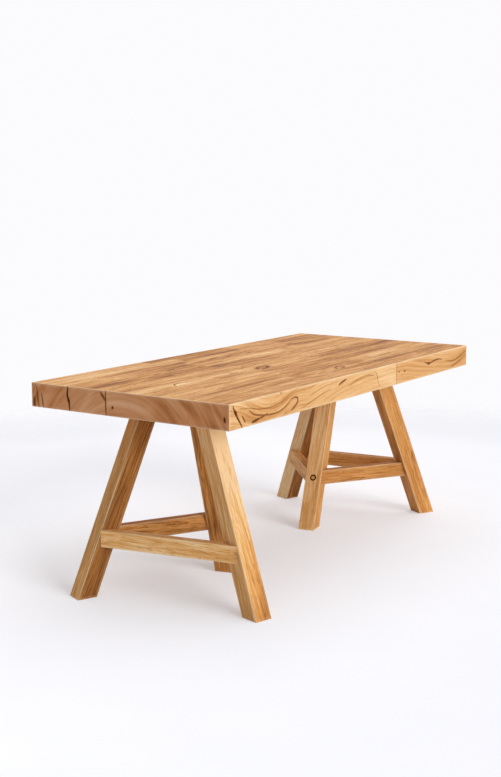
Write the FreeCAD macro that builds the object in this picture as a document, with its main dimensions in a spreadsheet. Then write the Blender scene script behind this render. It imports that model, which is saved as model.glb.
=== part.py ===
import FreeCAD, Part
import math
import os

import Sketcher
from FreeCAD import Placement, Rotation, Vector

# Trestle dining table: a thick plank top that stands, held by pegs, on two loose three-legged trestles.
# The frame has X along the table, Y across it and Z up, with its origin on the floor under the middle.
# Sizes are in millimetres, directions in degrees from +X, given for the trestle at the -X end.
DIMENSIONS = {
    # Table top
    "table_length": 1800.0,
    "table_width": 835.0,
    "table_height": 750.0,
    "top_thickness": 85.0,
    "plank_rows": 5,
    "butt_offset": 240.0,
    "top_arris": 2.0,
    # Loose tongues between the rows and dowels across the butt joints
    "spline_thickness": 14.0,
    "spline_width": 44.0,
    "spline_stop": 60.0,
    "dowel_diameter": 18.0,
    "dowel_length": 110.0,
    # Place of each trestle under the top: from its end of the top, from the middle line, and its turn
    "near_trestle_inset": 263.84,
    "near_trestle_side": -24.14,
    "near_trestle_turn": 0.0,
    "far_trestle_inset": 247.56,
    "far_trestle_side": 28.66,
    "far_trestle_turn": 176.3,
    # Legs: where each one meets the seat of the top, and the way it leans outwards
    "leg_size": 68.0,
    "leg_lean": 21.7,
    "leg_arris": 2.0,
    "end_leg_reach": 151.0,
    "end_leg_seat": 84.0,
    "end_leg_direction": 156.0,
    "side_leg_reach": 119.0,
    "side_leg_seat": 268.0,
    "side_leg_direction": 254.0,
    "inner_leg_reach": 72.0,
    "inner_leg_seat": 318.0,
    "inner_leg_direction": 14.0,
    # Stretchers and their stub tenons, longer in the inner leg where a key locks them
    "stretcher_bottom": 178.0,
    "stretcher_height": 60.0,
    "stretcher_thickness": 36.0,
    "stretcher_inset": 8.0,
    "stretcher_arris": 1.5,
    "tenon_thickness": 14.0,
    "tenon_height": 34.0,
    "tenon_depth": 25.0,
    "locked_tenon_depth": 33.0,
    # Head board with the wedged tenons of the legs and the pegs of the top
    "head_thickness": 32.0,
    "head_margin": 62.0,
    "head_chamfer": 6.0,
    "head_tenon": 40.0,
    "head_tenon_recess": 0.5,
    "wedge_thickness": 6.0,
    "wedge_tip": 2.0,
    "wedge_length": 26.0,
    "peg_diameter": 20.0,
    "peg_stand": 25.0,
    "peg_chamfer": 2.0,
    # Turned key in the inner leg's outer face
    "key_diameter": 26.0,
    "key_bore_depth": 30.0,
    "key_face_diameter": 20.0,
    "key_groove": 1.5,
    # Fits
    "flat_clearance": 0.2,
    "round_clearance": 0.3,
    "end_clearance": 1.0,
}

LEGS = ("end_leg", "side_leg", "inner_leg")
STRETCHERS = (
    ("end_side_stretcher", "end_leg", "side_leg"),
    ("side_inner_stretcher", "side_leg", "inner_leg"),
    ("inner_end_stretcher", "inner_leg", "end_leg"),
)
LOCKED_LEG = "inner_leg"
# Each trestle and the end of the table that it stands at
TRESTLES = {"near_trestle": -1, "far_trestle": 1}
UP = Vector(0, 0, 1)
AXIS_Y = Vector(0, 1, 0)
# Any size will do for a sketch's dimension until its expression sets it
SKETCH_START = 1.0
# Edges closer than this lie in the same place
SAME_PLACE = 0.01

doc = FreeCAD.newDocument("trestle_table")
sheet = doc.addObject("Spreadsheet::Sheet", "Sheet")
nodes = {}


def fill_sheet():
    """Write the driving dimensions into the sheet, one row each, with the name as alias."""
    for row, (alias, value) in enumerate(DIMENSIONS.items(), start=1):
        sheet.set(f"A{row}", alias)
        sheet.set(f"B{row}", str(value))
        sheet.setAlias(f"B{row}", alias)
    doc.recompute()


def size(alias):
    """A driving dimension, read back from the sheet."""
    return float(sheet.get(alias))


def cell(alias):
    """The expression that names a driving dimension."""
    return f"Sheet.{alias}"


def bind(obj, **sizes):
    """Set properties: text is an expression on the sheet, a number is a derived size."""
    for prop, value in sizes.items():
        if isinstance(value, str):
            obj.setExpression(prop, value)
        else:
            setattr(obj, prop, value)


def keep(node, obj):
    """Name an object as a finished sub-part."""
    obj.Label = node
    nodes[node] = obj


def moved(frame, x, y, z):
    """A frame shifted along its own axes."""
    return frame.multiply(Placement(Vector(x, y, z), Rotation()))


def polar(radius, degrees):
    """A point of the plan at a radius and a direction."""
    turn = math.radians(degrees)
    return Vector(radius * math.cos(turn), radius * math.sin(turn), 0)


def add_box(name, frame, length, width, height):
    """A box that grows from the origin of its frame."""
    box = doc.addObject("Part::Box", name)
    bind(box, Length=length, Width=width, Height=height)
    box.Placement = frame
    return box


def add_cylinder(name, frame, radius, height):
    """A cylinder that grows from the origin of its frame along its Z."""
    cylinder = doc.addObject("Part::Cylinder", name)
    bind(cylinder, Radius=radius, Height=height)
    cylinder.Placement = frame
    return cylinder


def add_fuse(name, shapes):
    """The union of several shapes."""
    fuse = doc.addObject("Part::MultiFuse", name)
    fuse.Shapes = shapes
    fuse.Refine = True
    return fuse


def add_cut(name, base, tools):
    """A shape with the union of several tools taken away."""
    cut = doc.addObject("Part::Cut", name)
    cut.Base = base
    cut.Tool = tools[0] if len(tools) == 1 else add_fuse(f"{name}_tools", tools)
    cut.Refine = True
    return cut


def add_group(name, members):
    """Separate solids that share one sub-part."""
    group = doc.addObject("Part::Compound", name)
    group.Links = members
    return group


def add_body(name, frame):
    """An empty body at its place."""
    body = doc.addObject("PartDesign::Body", name)
    body.Placement = frame
    return body


def add_sketch(body, name, role, offset=0.0):
    """A sketch on one of the body's origin planes, shifted along the plane's normal."""
    plane = next(item for item in body.Origin.OriginFeatures if item.Role == role)
    sketch = body.newObject("Sketcher::SketchObject", f"{body.Name}_{name}")
    sketch.AttachmentSupport = [(plane, "")]
    sketch.MapMode = "FlatFace"
    sketch.AttachmentOffset = Placement(Vector(0, 0, offset), Rotation())
    return sketch


def constrain(sketch, kind, first, second, value):
    """Add one dimension to a sketch: text is an expression on the sheet."""
    start = SKETCH_START if isinstance(value, str) else value
    index = sketch.addConstraint(Sketcher.Constraint(kind, *first, *second, start))
    if isinstance(value, str):
        sketch.setExpression(f"Constraints[{index}]", value)


def draw_polygon(sketch, corners):
    """Draw a closed polygon whose corners are dimensioned from the sketch's origin."""
    count = len(corners)
    ring = [polar(count, 360.0 * index / count) for index in range(count)]
    lines = [sketch.addGeometry(Part.LineSegment(ring[i], ring[(i + 1) % count])) for i in range(count)]
    for index, line in enumerate(lines):
        sketch.addConstraint(Sketcher.Constraint("Coincident", line, 2, lines[(index + 1) % count], 1))
    for line, (across, along) in zip(lines, corners):
        constrain(sketch, "DistanceX", (-1, 1), (line, 1), across)
        constrain(sketch, "DistanceY", (-1, 1), (line, 1), along)


def draw_circle(sketch, centre, radius):
    """Draw a circle dimensioned from the sketch's origin, or centred on it."""
    ring = sketch.addGeometry(Part.Circle(Vector(*(centre or (0, 0)), 0), UP, SKETCH_START))
    if centre is None:
        sketch.addConstraint(Sketcher.Constraint("Coincident", ring, 3, -1, 1))
    else:
        constrain(sketch, "DistanceX", (-1, 1), (ring, 3), centre[0])
        constrain(sketch, "DistanceY", (-1, 1), (ring, 3), centre[1])
    index = sketch.addConstraint(Sketcher.Constraint("Radius", ring, SKETCH_START))
    sketch.setExpression(f"Constraints[{index}]", radius)


def add_pad(body, sketch, length, symmetric=False):
    """Raise a sketch into a solid."""
    pad = body.newObject("PartDesign::Pad", f"{sketch.Name}_pad")
    pad.Profile = sketch
    pad.Midplane = symmetric
    bind(pad, Length=length)
    doc.recompute()
    return pad


def add_pocket(body, sketch, depth, flipped=False, symmetric=False):
    """Sink a sketch into the solid, and refuse a pocket that takes nothing away."""
    before = body.Shape.Volume
    pocket = body.newObject("PartDesign::Pocket", f"{sketch.Name}_pocket")
    pocket.Profile = sketch
    pocket.Reversed = flipped
    pocket.Midplane = symmetric
    bind(pocket, Length=depth)
    doc.recompute()
    if body.Shape.Volume >= before:
        raise RuntimeError(f"{pocket.Name} cuts nothing")


def add_chamfer(body, chosen, width):
    """Bevel those edges of the body's last feature that pass a test."""
    tip = body.Tip
    names = [f"Edge{i}" for i, edge in enumerate(tip.Shape.Edges, start=1) if chosen(edge)]
    chamfer = body.newObject("PartDesign::Chamfer", f"{body.Name}_chamfer")
    chamfer.Base = (tip, names)
    bind(chamfer, Size=width)
    doc.recompute()


fill_sheet()
seat_height = size("table_height") - size("top_thickness")
shoulder_height = seat_height - size("head_thickness")
lean = math.radians(size("leg_lean"))
half_leg = size("leg_size") / 2
stretcher_middle = size("stretcher_bottom") + size("stretcher_height") / 2
row_width = size("table_width") / size("plank_rows")
# How far a cutting tool runs past what it cuts
tool_reach = 4 * size("leg_size")

# The same heights as expressions, for the sketches
SEAT = "(Sheet.table_height - Sheet.top_thickness)"
SHOULDER = f"({SEAT} - Sheet.head_thickness)"
TENON_END = f"({SEAT} - Sheet.head_tenon_recess)"
TILT = "(Sheet.leg_lean * 1 deg)"


def trestle_frame(trestle):
    """The floor frame under a trestle's head, turned about half round for the far one."""
    along = TRESTLES[trestle] * (size("table_length") / 2 - size(f"{trestle}_inset"))
    centre = Vector(along, size(f"{trestle}_side"), 0)
    return Placement(centre, Rotation(UP, size(f"{trestle}_turn")))


def seat_point(leg):
    """Where a leg's centre line meets the seat of the top, in plan."""
    return polar(size(f"{leg}_reach"), size(f"{leg}_seat"))


def leg_point(leg, height):
    """A point of a leg's centre line at a height, in the trestle's frame."""
    spread = (seat_height - height) * math.tan(lean)
    return seat_point(leg) + polar(spread, size(f"{leg}_direction")) + Vector(0, 0, height)


def leg_frame(base, leg):
    """A leg's own frame: Z up its centre line from the floor, X towards its outer face."""
    facing = Rotation(UP, size(f"{leg}_direction"))
    tilted = facing.multiply(Rotation(AXIS_Y, -size("leg_lean")))
    return base.multiply(Placement(leg_point(leg, 0.0), tilted))


def level_line(across, height):
    """The height up a leg, in its own frame, at which a level plane passes a distance from its middle."""
    return f"({height} - {across} * sin({TILT})) / cos({TILT})"


def wedge_corners():
    """The side view of a tenon's wedge: level at its top end, blunt at its tip."""
    thick = "Sheet.wedge_thickness / 2"
    tip = "Sheet.wedge_tip / 2"
    bottom = f"{TENON_END} / cos({TILT}) - Sheet.wedge_length"
    return [
        (f"-{thick}", level_line(f"(-{thick})", TENON_END)),
        (thick, level_line(thick, TENON_END)),
        (tip, bottom),
        (f"-{tip}", bottom),
    ]


def leg_blank(name, frame):
    """A leg before its mortises: cut level at floor and shoulder, with a tenon slit for its wedge."""
    body = add_body(name, frame)
    half = "Sheet.leg_size / 2"
    side = add_sketch(body, "side", "XZ_Plane")
    draw_polygon(side, [
        (f"-{half}", level_line(f"(-{half})", "0")),
        (half, level_line(half, "0")),
        (half, level_line(half, SHOULDER)),
        (f"-{half}", level_line(f"(-{half})", SHOULDER)),
    ])
    add_pad(body, side, cell("leg_size"), symmetric=True)
    add_chamfer(body, lambda edge: edge.Length > shoulder_height, cell("leg_arris"))
    tenon = add_sketch(body, "tenon", "XZ_Plane")
    root = f"{SHOULDER} / cos({TILT}) - Sheet.head_tenon / 2"
    cheek = "Sheet.head_tenon / 2"
    draw_polygon(tenon, [
        (f"-{cheek}", root),
        (cheek, root),
        (cheek, level_line(cheek, TENON_END)),
        (f"-{cheek}", level_line(f"(-{cheek})", TENON_END)),
    ])
    add_pad(body, tenon, cell("head_tenon"), symmetric=True)
    slit = add_sketch(body, "slit", "XZ_Plane")
    draw_polygon(slit, wedge_corners())
    add_pocket(body, slit, "2 * Sheet.head_tenon", symmetric=True)
    return body


def tenon_wedge(name, frame):
    """The wedge that spreads a leg's tenon in the head board."""
    body = add_body(name, frame)
    side = add_sketch(body, "side", "XZ_Plane")
    draw_polygon(side, wedge_corners())
    add_pad(body, side, cell("head_tenon"), symmetric=True)
    return body


class Stretcher:
    """A low rail between two splayed legs, scribed to them and tenoned into both."""

    def __init__(self, name, base, first, second):
        """Place the rail so that its outer face runs just inside the two legs' outer corners."""
        self.name = name
        self.first = first
        self.second = second
        self.base = base
        start = self.outer_corner(first, 1)
        reach = self.outer_corner(second, -1) - start
        self.span = reach.Length
        heading = math.degrees(math.atan2(reach.y, reach.x))
        start.z = size("stretcher_bottom")
        plan = Placement(start, Rotation(UP, heading))
        self.frame = moved(base.multiply(plan), 0, size("stretcher_inset"), 0)

    @staticmethod
    def outer_corner(leg, side):
        """A leg's outer corner at the rail's mid height; side is 1 or -1 across the leg."""
        direction = size(f"{leg}_direction")
        out = polar(half_leg / math.cos(lean), direction)
        return leg_point(leg, stretcher_middle) + out + polar(side * half_leg, direction + 90)

    def entry(self, leg, side):
        """How far along the rail its middle line enters a leg, by its back or by the cheek that it nears."""
        into = leg_frame(self.base, leg).inverse().multiply(self.frame)
        middle = (size("stretcher_thickness") / 2, size("stretcher_height") / 2)
        near = into.multVec(Vector(0, *middle))
        step = into.multVec(Vector(1, *middle)) - near
        faces = [(-half_leg - near.x) / step.x]
        if step.y > 0:
            faces.append((side * half_leg - near.y) / step.y)
        return min(faces) if side > 0 else max(faces)

    def trimmer(self, leg, side):
        """The space past a leg's cheek and back, which the rail's end is scribed to."""
        corner = half_leg - tool_reach if side > 0 else -half_leg
        frame = moved(leg_frame(self.base, leg), -half_leg, corner, 0)
        return add_box(f"{self.name}_{leg}_trimmer", frame, tool_reach, tool_reach, cell("table_height"))

    @staticmethod
    def tenon_depth(leg):
        """How deep a tenon goes into a leg."""
        return size("locked_tenon_depth" if leg == LOCKED_LEG else "tenon_depth")

    def tenon_core(self, name, slack, end_slack):
        """The bar from tenon tip to tenon tip, swelled by the slack of a mortise."""
        low = self.entry(self.first, 1) - self.tenon_depth(self.first) - end_slack
        high = self.entry(self.second, -1) + self.tenon_depth(self.second) + end_slack
        side = (size("stretcher_thickness") - size("tenon_thickness")) / 2 - slack
        under = (size("stretcher_height") - size("tenon_height")) / 2 - slack
        width = f"Sheet.tenon_thickness + 2 * {slack}"
        height = f"Sheet.tenon_height + 2 * {slack}"
        return add_box(name, moved(self.frame, low, side, under), high - low, width, height)

    def eased_bar(self):
        """The planed bar with its long edges eased, left long by what the legs lean over its height."""
        overrun = size("stretcher_height") * math.tan(lean)
        body = add_body(f"{self.name}_bar", moved(self.frame, -overrun, 0, 0))
        section = add_sketch(body, "section", "YZ_Plane")
        wide = cell("stretcher_thickness")
        high = cell("stretcher_height")
        draw_polygon(section, [(0.0, 0.0), (wide, 0.0), (wide, high), (0.0, high)])
        add_pad(body, section, self.span + 2 * overrun)
        add_chamfer(body, lambda edge: edge.Length > self.span, cell("stretcher_arris"))
        return body

    def build(self):
        """The rail: a bar scribed to both legs, with its tenons."""
        trimmers = [self.trimmer(self.first, 1), self.trimmer(self.second, -1)]
        scribed = add_cut(f"{self.name}_scribed", self.eased_bar(), trimmers)
        return add_fuse(f"{self.name}_tenoned", [scribed, self.tenon_core(f"{self.name}_tenons", 0.0, 0.0)])

    def mortise_tool(self):
        """What the rail's tenons take out of its legs."""
        return self.tenon_core(f"{self.name}_mortises", size("flat_clearance"), size("end_clearance"))


class LockedCorner:
    """The turned key in a leg's outer face that bites both its stretchers' tenons and locks them."""

    def __init__(self, trestle, base, leg):
        """Lay the key level on the leg's centre line at the stretchers' mid height, Z going inwards."""
        self.trestle = trestle
        self.face = half_leg / math.cos(lean)
        self.floor = size("key_bore_depth") - self.face
        level = Placement(leg_point(leg, stretcher_middle), Rotation(UP, size(f"{leg}_direction")))
        self.frame = base.multiply(level).multiply(Placement(Vector(), Rotation(AXIS_Y, -90)))

    def bore_tool(self):
        """The blind hole for the key, in the leg and the tips of the tenons."""
        depth = 2 * size("key_bore_depth")
        frame = moved(self.frame, 0, 0, self.floor - depth)
        return add_cylinder(f"{self.trestle}_key_bore", frame, "Sheet.key_diameter / 2", depth)

    def corner_key(self, blank):
        """The key, planed flush with the leg inside a sunk ring."""
        name = f"{self.trestle}_corner_key"
        inner = self.floor - size("round_clearance")
        rim = size("key_diameter") / 2
        outer = size("key_groove") + rim * math.tan(lean) - self.face
        stem = add_cylinder(
            f"{name}_stem",
            moved(self.frame, 0, 0, outer),
            "Sheet.key_diameter / 2 - Sheet.round_clearance",
            inner - outer,
        )
        proud = -2 * self.face
        boss = add_cylinder(
            f"{name}_boss", moved(self.frame, 0, 0, proud), "Sheet.key_face_diameter / 2", inner - proud
        )
        flush = doc.addObject("Part::Common", name)
        flush.Base = add_fuse(f"{name}_blank", [stem, boss])
        flush.Tool = blank
        keep(name, flush)


def peg_points():
    """The plan places of a head board's two pegs: midway from the inner leg's seat to the others."""
    inner = seat_point("inner_leg")
    return [(inner + seat_point(leg)) * 0.5 for leg in ("end_leg", "side_leg")]


def head_corners():
    """The head board's outline: a rectangle along the outer legs with a margin round all three seats."""
    seats = [seat_point(leg) for leg in LEGS]
    along = (seat_point("side_leg") - seat_point("end_leg")).normalize()
    across = Vector(-along.y, along.x, 0)
    margin = size("head_margin")
    low, *_, high = sorted(seat.dot(along) for seat in seats)
    left, *_, right = sorted(seat.dot(across) for seat in seats)
    corners = [
        along * (low - margin) + across * (left - margin),
        along * (high + margin) + across * (left - margin),
        along * (high + margin) + across * (right + margin),
        along * (low - margin) + across * (right + margin),
    ]
    return [(corner.x, corner.y) for corner in corners]


def head_board(trestle, base):
    """The board on top of a trestle, with slanted mortises for the legs and holes for the pegs."""
    name = f"{trestle}_head_board"
    body = add_body(f"{name}_blank", moved(base, 0, 0, shoulder_height))
    outline = add_sketch(body, "outline", "XY_Plane")
    draw_polygon(outline, head_corners())
    add_pad(body, outline, cell("head_thickness"))
    add_chamfer(body, lambda edge: edge.BoundBox.ZMax < size("head_thickness") / 2, cell("head_chamfer"))
    width = "Sheet.head_tenon + 2 * Sheet.flat_clearance"
    offset = size("head_tenon") / 2 + size("flat_clearance")
    tools = []
    for leg in LEGS:
        frame = moved(leg_frame(base, leg), -offset, -offset, 0)
        tools.append(add_box(f"{name}_{leg}_mortise", frame, width, width, "2 * Sheet.table_height"))
    for index, point in enumerate(peg_points(), start=1):
        radius = "Sheet.peg_diameter / 2 + Sheet.round_clearance"
        frame = moved(base, point.x, point.y, 0)
        tools.append(add_cylinder(f"{name}_peg_hole_{index}", frame, radius, cell("table_height")))
    keep(name, add_cut(name, body, tools))


def locating_pegs(trestle, base):
    """Two pegs in the head board that stand up into the top."""
    pegs = []
    for index, point in enumerate(peg_points(), start=1):
        body = add_body(f"{trestle}_peg_{index}", moved(base, point.x, point.y, shoulder_height))
        ring = add_sketch(body, "ring", "XY_Plane")
        draw_circle(ring, None, "Sheet.peg_diameter / 2")
        add_pad(body, ring, "Sheet.head_thickness + Sheet.peg_stand")
        add_chamfer(body, lambda edge: edge.BoundBox.ZMin > size("head_thickness"), cell("peg_chamfer"))
        pegs.append(body)
    name = f"{trestle}_pegs"
    keep(name, add_group(name, pegs))


def build_trestle(trestle):
    """One trestle: legs, stretchers, the key that locks them, head board, wedges and pegs."""
    base = trestle_frame(trestle)
    blanks = {leg: leg_blank(f"{trestle}_{leg}_blank", leg_frame(base, leg)) for leg in LEGS}
    corner = LockedCorner(trestle, base, LOCKED_LEG)
    bore = corner.bore_tool()
    cutters = {leg: [] for leg in LEGS}
    cutters[LOCKED_LEG].append(bore)
    for label, first, second in STRETCHERS:
        rail = Stretcher(f"{trestle}_{label}", base, first, second)
        tenoned = rail.build()
        locked = LOCKED_LEG in (first, second)
        keep(rail.name, add_cut(rail.name, tenoned, [bore]) if locked else tenoned)
        mortises = rail.mortise_tool()
        cutters[first].append(mortises)
        cutters[second].append(mortises)
    for leg in LEGS:
        keep(f"{trestle}_{leg}", add_cut(f"{trestle}_{leg}", blanks[leg], cutters[leg]))
    corner.corner_key(blanks[LOCKED_LEG])
    head_board(trestle, base)
    wedges = [tenon_wedge(f"{trestle}_{leg}_wedge", leg_frame(base, leg)) for leg in LEGS]
    keep(f"{trestle}_tenon_wedges", add_group(f"{trestle}_tenon_wedges", wedges))
    locating_pegs(trestle, base)


def seat_holes():
    """The plan places, in the table's frame, of every peg."""
    frames = [trestle_frame(trestle) for trestle in TRESTLES]
    return [frame.multVec(point) for frame in frames for point in peg_points()]


def butt_place(row):
    """Where a row's two lengths meet: to the right and to the left in turn."""
    return size("butt_offset") if row % 2 == 0 else -size("butt_offset")


def plank(row, index, low, high):
    """One length of one row: grooved for the tongues, drilled for the dowels and the pegs."""
    name = f"top_plank_{row + 1}_{'ab'[index]}"
    bottom = -size("table_width") / 2 + row * row_width
    length = high - low
    middle = Vector((low + high) / 2, bottom + row_width / 2, seat_height)
    body = add_body(name, Placement(middle, Rotation()))
    outline = add_sketch(body, "outline", "XY_Plane")
    half_long = length / 2
    half_wide = row_width / 2
    draw_polygon(outline, [
        (-half_long, -half_wide), (half_long, -half_wide), (half_long, half_wide), (-half_long, half_wide)
    ])
    add_pad(body, outline, cell("top_thickness"))
    bevel_plank(body, row, index, half_long, half_wide)
    for side in (-1, 1):
        if 0 <= row + side < size("plank_rows"):
            groove_plank(body, side, index, half_long, half_wide)
    drill_butt(body, index, half_long)
    for number, point in enumerate(seat_holes(), start=1):
        across = point.x - middle.x
        along = point.y - middle.y
        rim = size("peg_diameter") / 2 + 2 * size("round_clearance")
        if abs(across) < half_long + rim and abs(along) < half_wide + rim:
            hole = add_sketch(body, f"peg_hole_{number}", "XY_Plane")
            draw_circle(hole, (across, along), "Sheet.peg_diameter / 2 + 2 * Sheet.round_clearance")
            add_pocket(body, hole, "Sheet.peg_stand + 2 * Sheet.end_clearance", flipped=True)
    keep(name, body)


def bevel_plank(body, row, index, half_long, half_wide):
    """Ease the upper arris of a plank where it lies on the outside of the top."""
    outer_x = half_long if index else -half_long
    outer_y = {0: -half_wide, int(size("plank_rows")) - 1: half_wide}.get(row)

    def outside(edge):
        box = edge.BoundBox
        upper = box.ZMin > size("top_thickness") - SAME_PLACE
        end = max(abs(box.XMin - outer_x), abs(box.XMax - outer_x)) < SAME_PLACE
        side = outer_y is not None and max(abs(box.YMin - outer_y), abs(box.YMax - outer_y)) < SAME_PLACE
        return upper and (end or side)

    add_chamfer(body, outside, cell("top_arris"))


def groove_plank(body, side, index, half_long, half_wide):
    """Plough a stopped groove for a loose tongue in one long edge."""
    stop = half_long - size("spline_stop") + size("end_clearance")
    open_end = half_long + tool_reach
    low, high = (-open_end, stop) if index else (-stop, open_end)
    half_thick = "(Sheet.spline_thickness / 2 + Sheet.flat_clearance)"
    under = f"Sheet.top_thickness / 2 - {half_thick}"
    over = f"Sheet.top_thickness / 2 + {half_thick}"
    label = "groove_far" if side > 0 else "groove_near"
    groove = add_sketch(body, label, "XZ_Plane", -side * half_wide)
    draw_polygon(groove, [(low, under), (high, under), (high, over), (low, over)])
    add_pocket(body, groove, "Sheet.spline_width / 2 + Sheet.end_clearance", flipped=side > 0)


def drill_butt(body, index, half_long):
    """Drill the two dowel holes in a plank's inner end."""
    inner = -half_long if index else half_long
    ends = add_sketch(body, "dowel_holes", "YZ_Plane", inner)
    for side in (-1, 1):
        draw_circle(
            ends,
            (side * row_width / 4, size("top_thickness") / 2),
            "Sheet.dowel_diameter / 2 + Sheet.round_clearance",
        )
    add_pocket(body, ends, "Sheet.dowel_length / 2 + Sheet.end_clearance", flipped=bool(index))


def build_top():
    """The top: rows of planks in two lengths, with their loose tongues and dowels."""
    half_table = size("table_length") / 2
    rows = int(size("plank_rows"))
    dowels = []
    for row in range(rows):
        meet = butt_place(row)
        plank(row, 0, -half_table, meet)
        plank(row, 1, meet, half_table)
        centre = -size("table_width") / 2 + (row + 0.5) * row_width
        for side in (-1, 1):
            place = Vector(
                meet - size("dowel_length") / 2,
                centre + side * row_width / 4,
                seat_height + size("top_thickness") / 2,
            )
            frame = Placement(place, Rotation(AXIS_Y, 90))
            name = f"dowel_{row + 1}_{side + 2}"
            dowels.append(add_cylinder(name, frame, "Sheet.dowel_diameter / 2", cell("dowel_length")))
    keep("top_dowels", add_group("top_dowels", dowels))
    for seam in range(1, rows):
        name = f"top_spline_{seam}"
        corner = Vector(
            size("spline_stop") - half_table,
            -size("table_width") / 2 + seam * row_width - size("spline_width") / 2,
            seat_height + (size("top_thickness") - size("spline_thickness")) / 2,
        )
        length = "Sheet.table_length - 2 * Sheet.spline_stop"
        frame = Placement(corner, Rotation())
        keep(name, add_box(name, frame, length, cell("spline_width"), cell("spline_thickness")))


def check_model():
    """Refuse a model with a failed object or an unsound sub-part."""
    for obj in doc.Objects:
        if "Invalid" in obj.State or "Error" in obj.State:
            raise RuntimeError(f"{obj.Name} failed: {obj.State}")
    for node, obj in nodes.items():
        if obj.Shape.isNull() or not obj.Shape.isValid() or not obj.Shape.Solids:
            raise RuntimeError(f"{node} has no sound shape")


build_top()
for trestle_name in TRESTLES:
    build_trestle(trestle_name)
doc.recompute()
check_model()
os.makedirs("parts", exist_ok=True)
for node_name, node_object in nodes.items():
    node_object.Shape.exportStep(f"parts/{node_name}.step")
print(f"{len(nodes)} sub-parts written")
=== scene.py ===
"""Looks of an oak trestle dining table, built round its packed construction.

Metres, in the construction's own frame: X runs along the table, Z is up and the floor is at zero.
Every oak board is a numpy surface that carries a grain field of its own, so that the figure
follows the wood: rings round a pith on the ends, flowing lines on the long sides, staves on the
top, and straight lines along the legs and stretchers.
"""

import logging
import math
from dataclasses import dataclass
from enum import Enum, IntEnum, StrEnum
from functools import partial
from itertools import product
from typing import Callable, Iterator, NamedTuple, Optional, Sequence

import bpy
import numpy as np
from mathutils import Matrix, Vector


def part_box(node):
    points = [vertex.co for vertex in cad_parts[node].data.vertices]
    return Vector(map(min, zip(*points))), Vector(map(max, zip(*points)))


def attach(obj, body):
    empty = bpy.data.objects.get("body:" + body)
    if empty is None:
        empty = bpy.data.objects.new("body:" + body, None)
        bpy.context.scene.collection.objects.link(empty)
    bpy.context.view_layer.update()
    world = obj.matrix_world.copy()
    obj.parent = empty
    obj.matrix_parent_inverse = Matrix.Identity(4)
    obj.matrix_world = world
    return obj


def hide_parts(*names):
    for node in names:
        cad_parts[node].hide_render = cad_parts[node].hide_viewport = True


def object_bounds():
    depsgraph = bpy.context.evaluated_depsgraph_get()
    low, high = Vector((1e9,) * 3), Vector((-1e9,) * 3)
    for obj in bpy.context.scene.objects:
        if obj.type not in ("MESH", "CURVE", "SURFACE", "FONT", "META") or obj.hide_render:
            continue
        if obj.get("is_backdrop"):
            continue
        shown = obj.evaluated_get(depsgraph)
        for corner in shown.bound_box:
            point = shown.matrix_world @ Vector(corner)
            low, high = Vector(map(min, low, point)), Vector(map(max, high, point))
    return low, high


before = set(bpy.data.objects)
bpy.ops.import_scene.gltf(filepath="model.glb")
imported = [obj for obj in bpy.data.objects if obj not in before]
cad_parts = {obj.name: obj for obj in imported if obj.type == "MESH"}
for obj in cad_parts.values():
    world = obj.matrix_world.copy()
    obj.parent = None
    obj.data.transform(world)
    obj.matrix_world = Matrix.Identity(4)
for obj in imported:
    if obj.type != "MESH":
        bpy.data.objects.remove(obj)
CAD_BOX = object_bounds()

LOG = logging.getLogger("trestle_table")
MM = 0.001
UP = np.array([0.0, 0.0, 1.0])
SAME_LEVEL = 0.1 * MM
TINY = 1e-12
SHARP_ANGLE = math.radians(38)
FINE_GRID = 1.6 * MM
COARSE_GRID = 12 * MM
# Grid lines closer than this become one.
LEAST_GAP = 0.15 * MM
# Grid lines beside an arris, in radii of it.
ARRIS_LINES = np.array([0.0, 0.12, 0.3, 0.6, 1.0, 1.7])
# Fine grid lines reach this many radii from the middle of a bore.
BORE_MARGIN = 1.3
# Noise lies about its middle, and mostly within this swing of it.
NOISE_MIDDLE, NOISE_SWING = 0.5, 0.25
# Sockets of a colour mix, whose names repeat for its other kinds of data.
MIX_FACTOR, MIX_A, MIX_B, MIX_RESULT = 0, 6, 7, 2

Socket = bpy.types.NodeSocket
AddNode = Callable[..., Optional[Socket]]


class Wood(StrEnum):
    """The attributes that a board carries for its finish."""

    GRAIN = "grain"
    TONE = "tone"
    BANDS = "bands"
    LINES = "lines"
    END = "end_grain"
    # Darkness of marks, and painted shade down in the peg sockets, in the key's pocket and at its rim.
    MARK = "mark"
    # Paler arrises and the key's rim: rubbed wear, and a painted highlight where the light catches
    # them.
    EDGE = "worn_edge"


class GrainSource(Enum):
    """Where a wood finish reads its grain field from."""

    BOARD = "the board's own grain attribute"
    PLACE = "the piece's place in the table"


class Side(IntEnum):
    """The six sides of a block: the axis they cross, then its low or high end."""

    X_LOW = 0
    X_HIGH = 1
    Y_LOW = 2
    Y_HIGH = 3
    Z_LOW = 4
    Z_HIGH = 5


X_SIDES = (Side.X_LOW, Side.X_HIGH)
Y_SIDES = (Side.Y_LOW, Side.Y_HIGH)
Z_SIDES = (Side.Z_LOW, Side.Z_HIGH)


class Face(Enum):
    """The faces of the table top that show marks of their own."""

    END = "near end"
    LONG = "near long side"
    TOP = "upper face"


class Half(StrEnum):
    """The two planks of a row, as their nodes name them."""

    NEAR = "a"
    FAR = "b"


class Stand(StrEnum):
    """The two trestles."""

    NEAR = "near"
    FAR = "far"


class Corner(StrEnum):
    """The corners of a trestle, each with a leg."""

    END = "end"
    SIDE = "side"
    INNER = "inner"


def linear(code: str) -> tuple[float, float, float, float]:
    """Turn an sRGB hex colour into linear light, by the curve of the sRGB standard.

    Args:
        code: The colour as #RRGGBB.

    Returns:
        Red, green, blue and an alpha of one.
    """
    srgb = np.array([int(code[i:i + 2], 16) for i in (1, 3, 5)]) / 255.0
    light = np.where(srgb <= 0.04045, srgb / 12.92, ((srgb + 0.055) / 1.055) ** 2.4)
    return (float(light[0]), float(light[1]), float(light[2]), 1.0)


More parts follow.
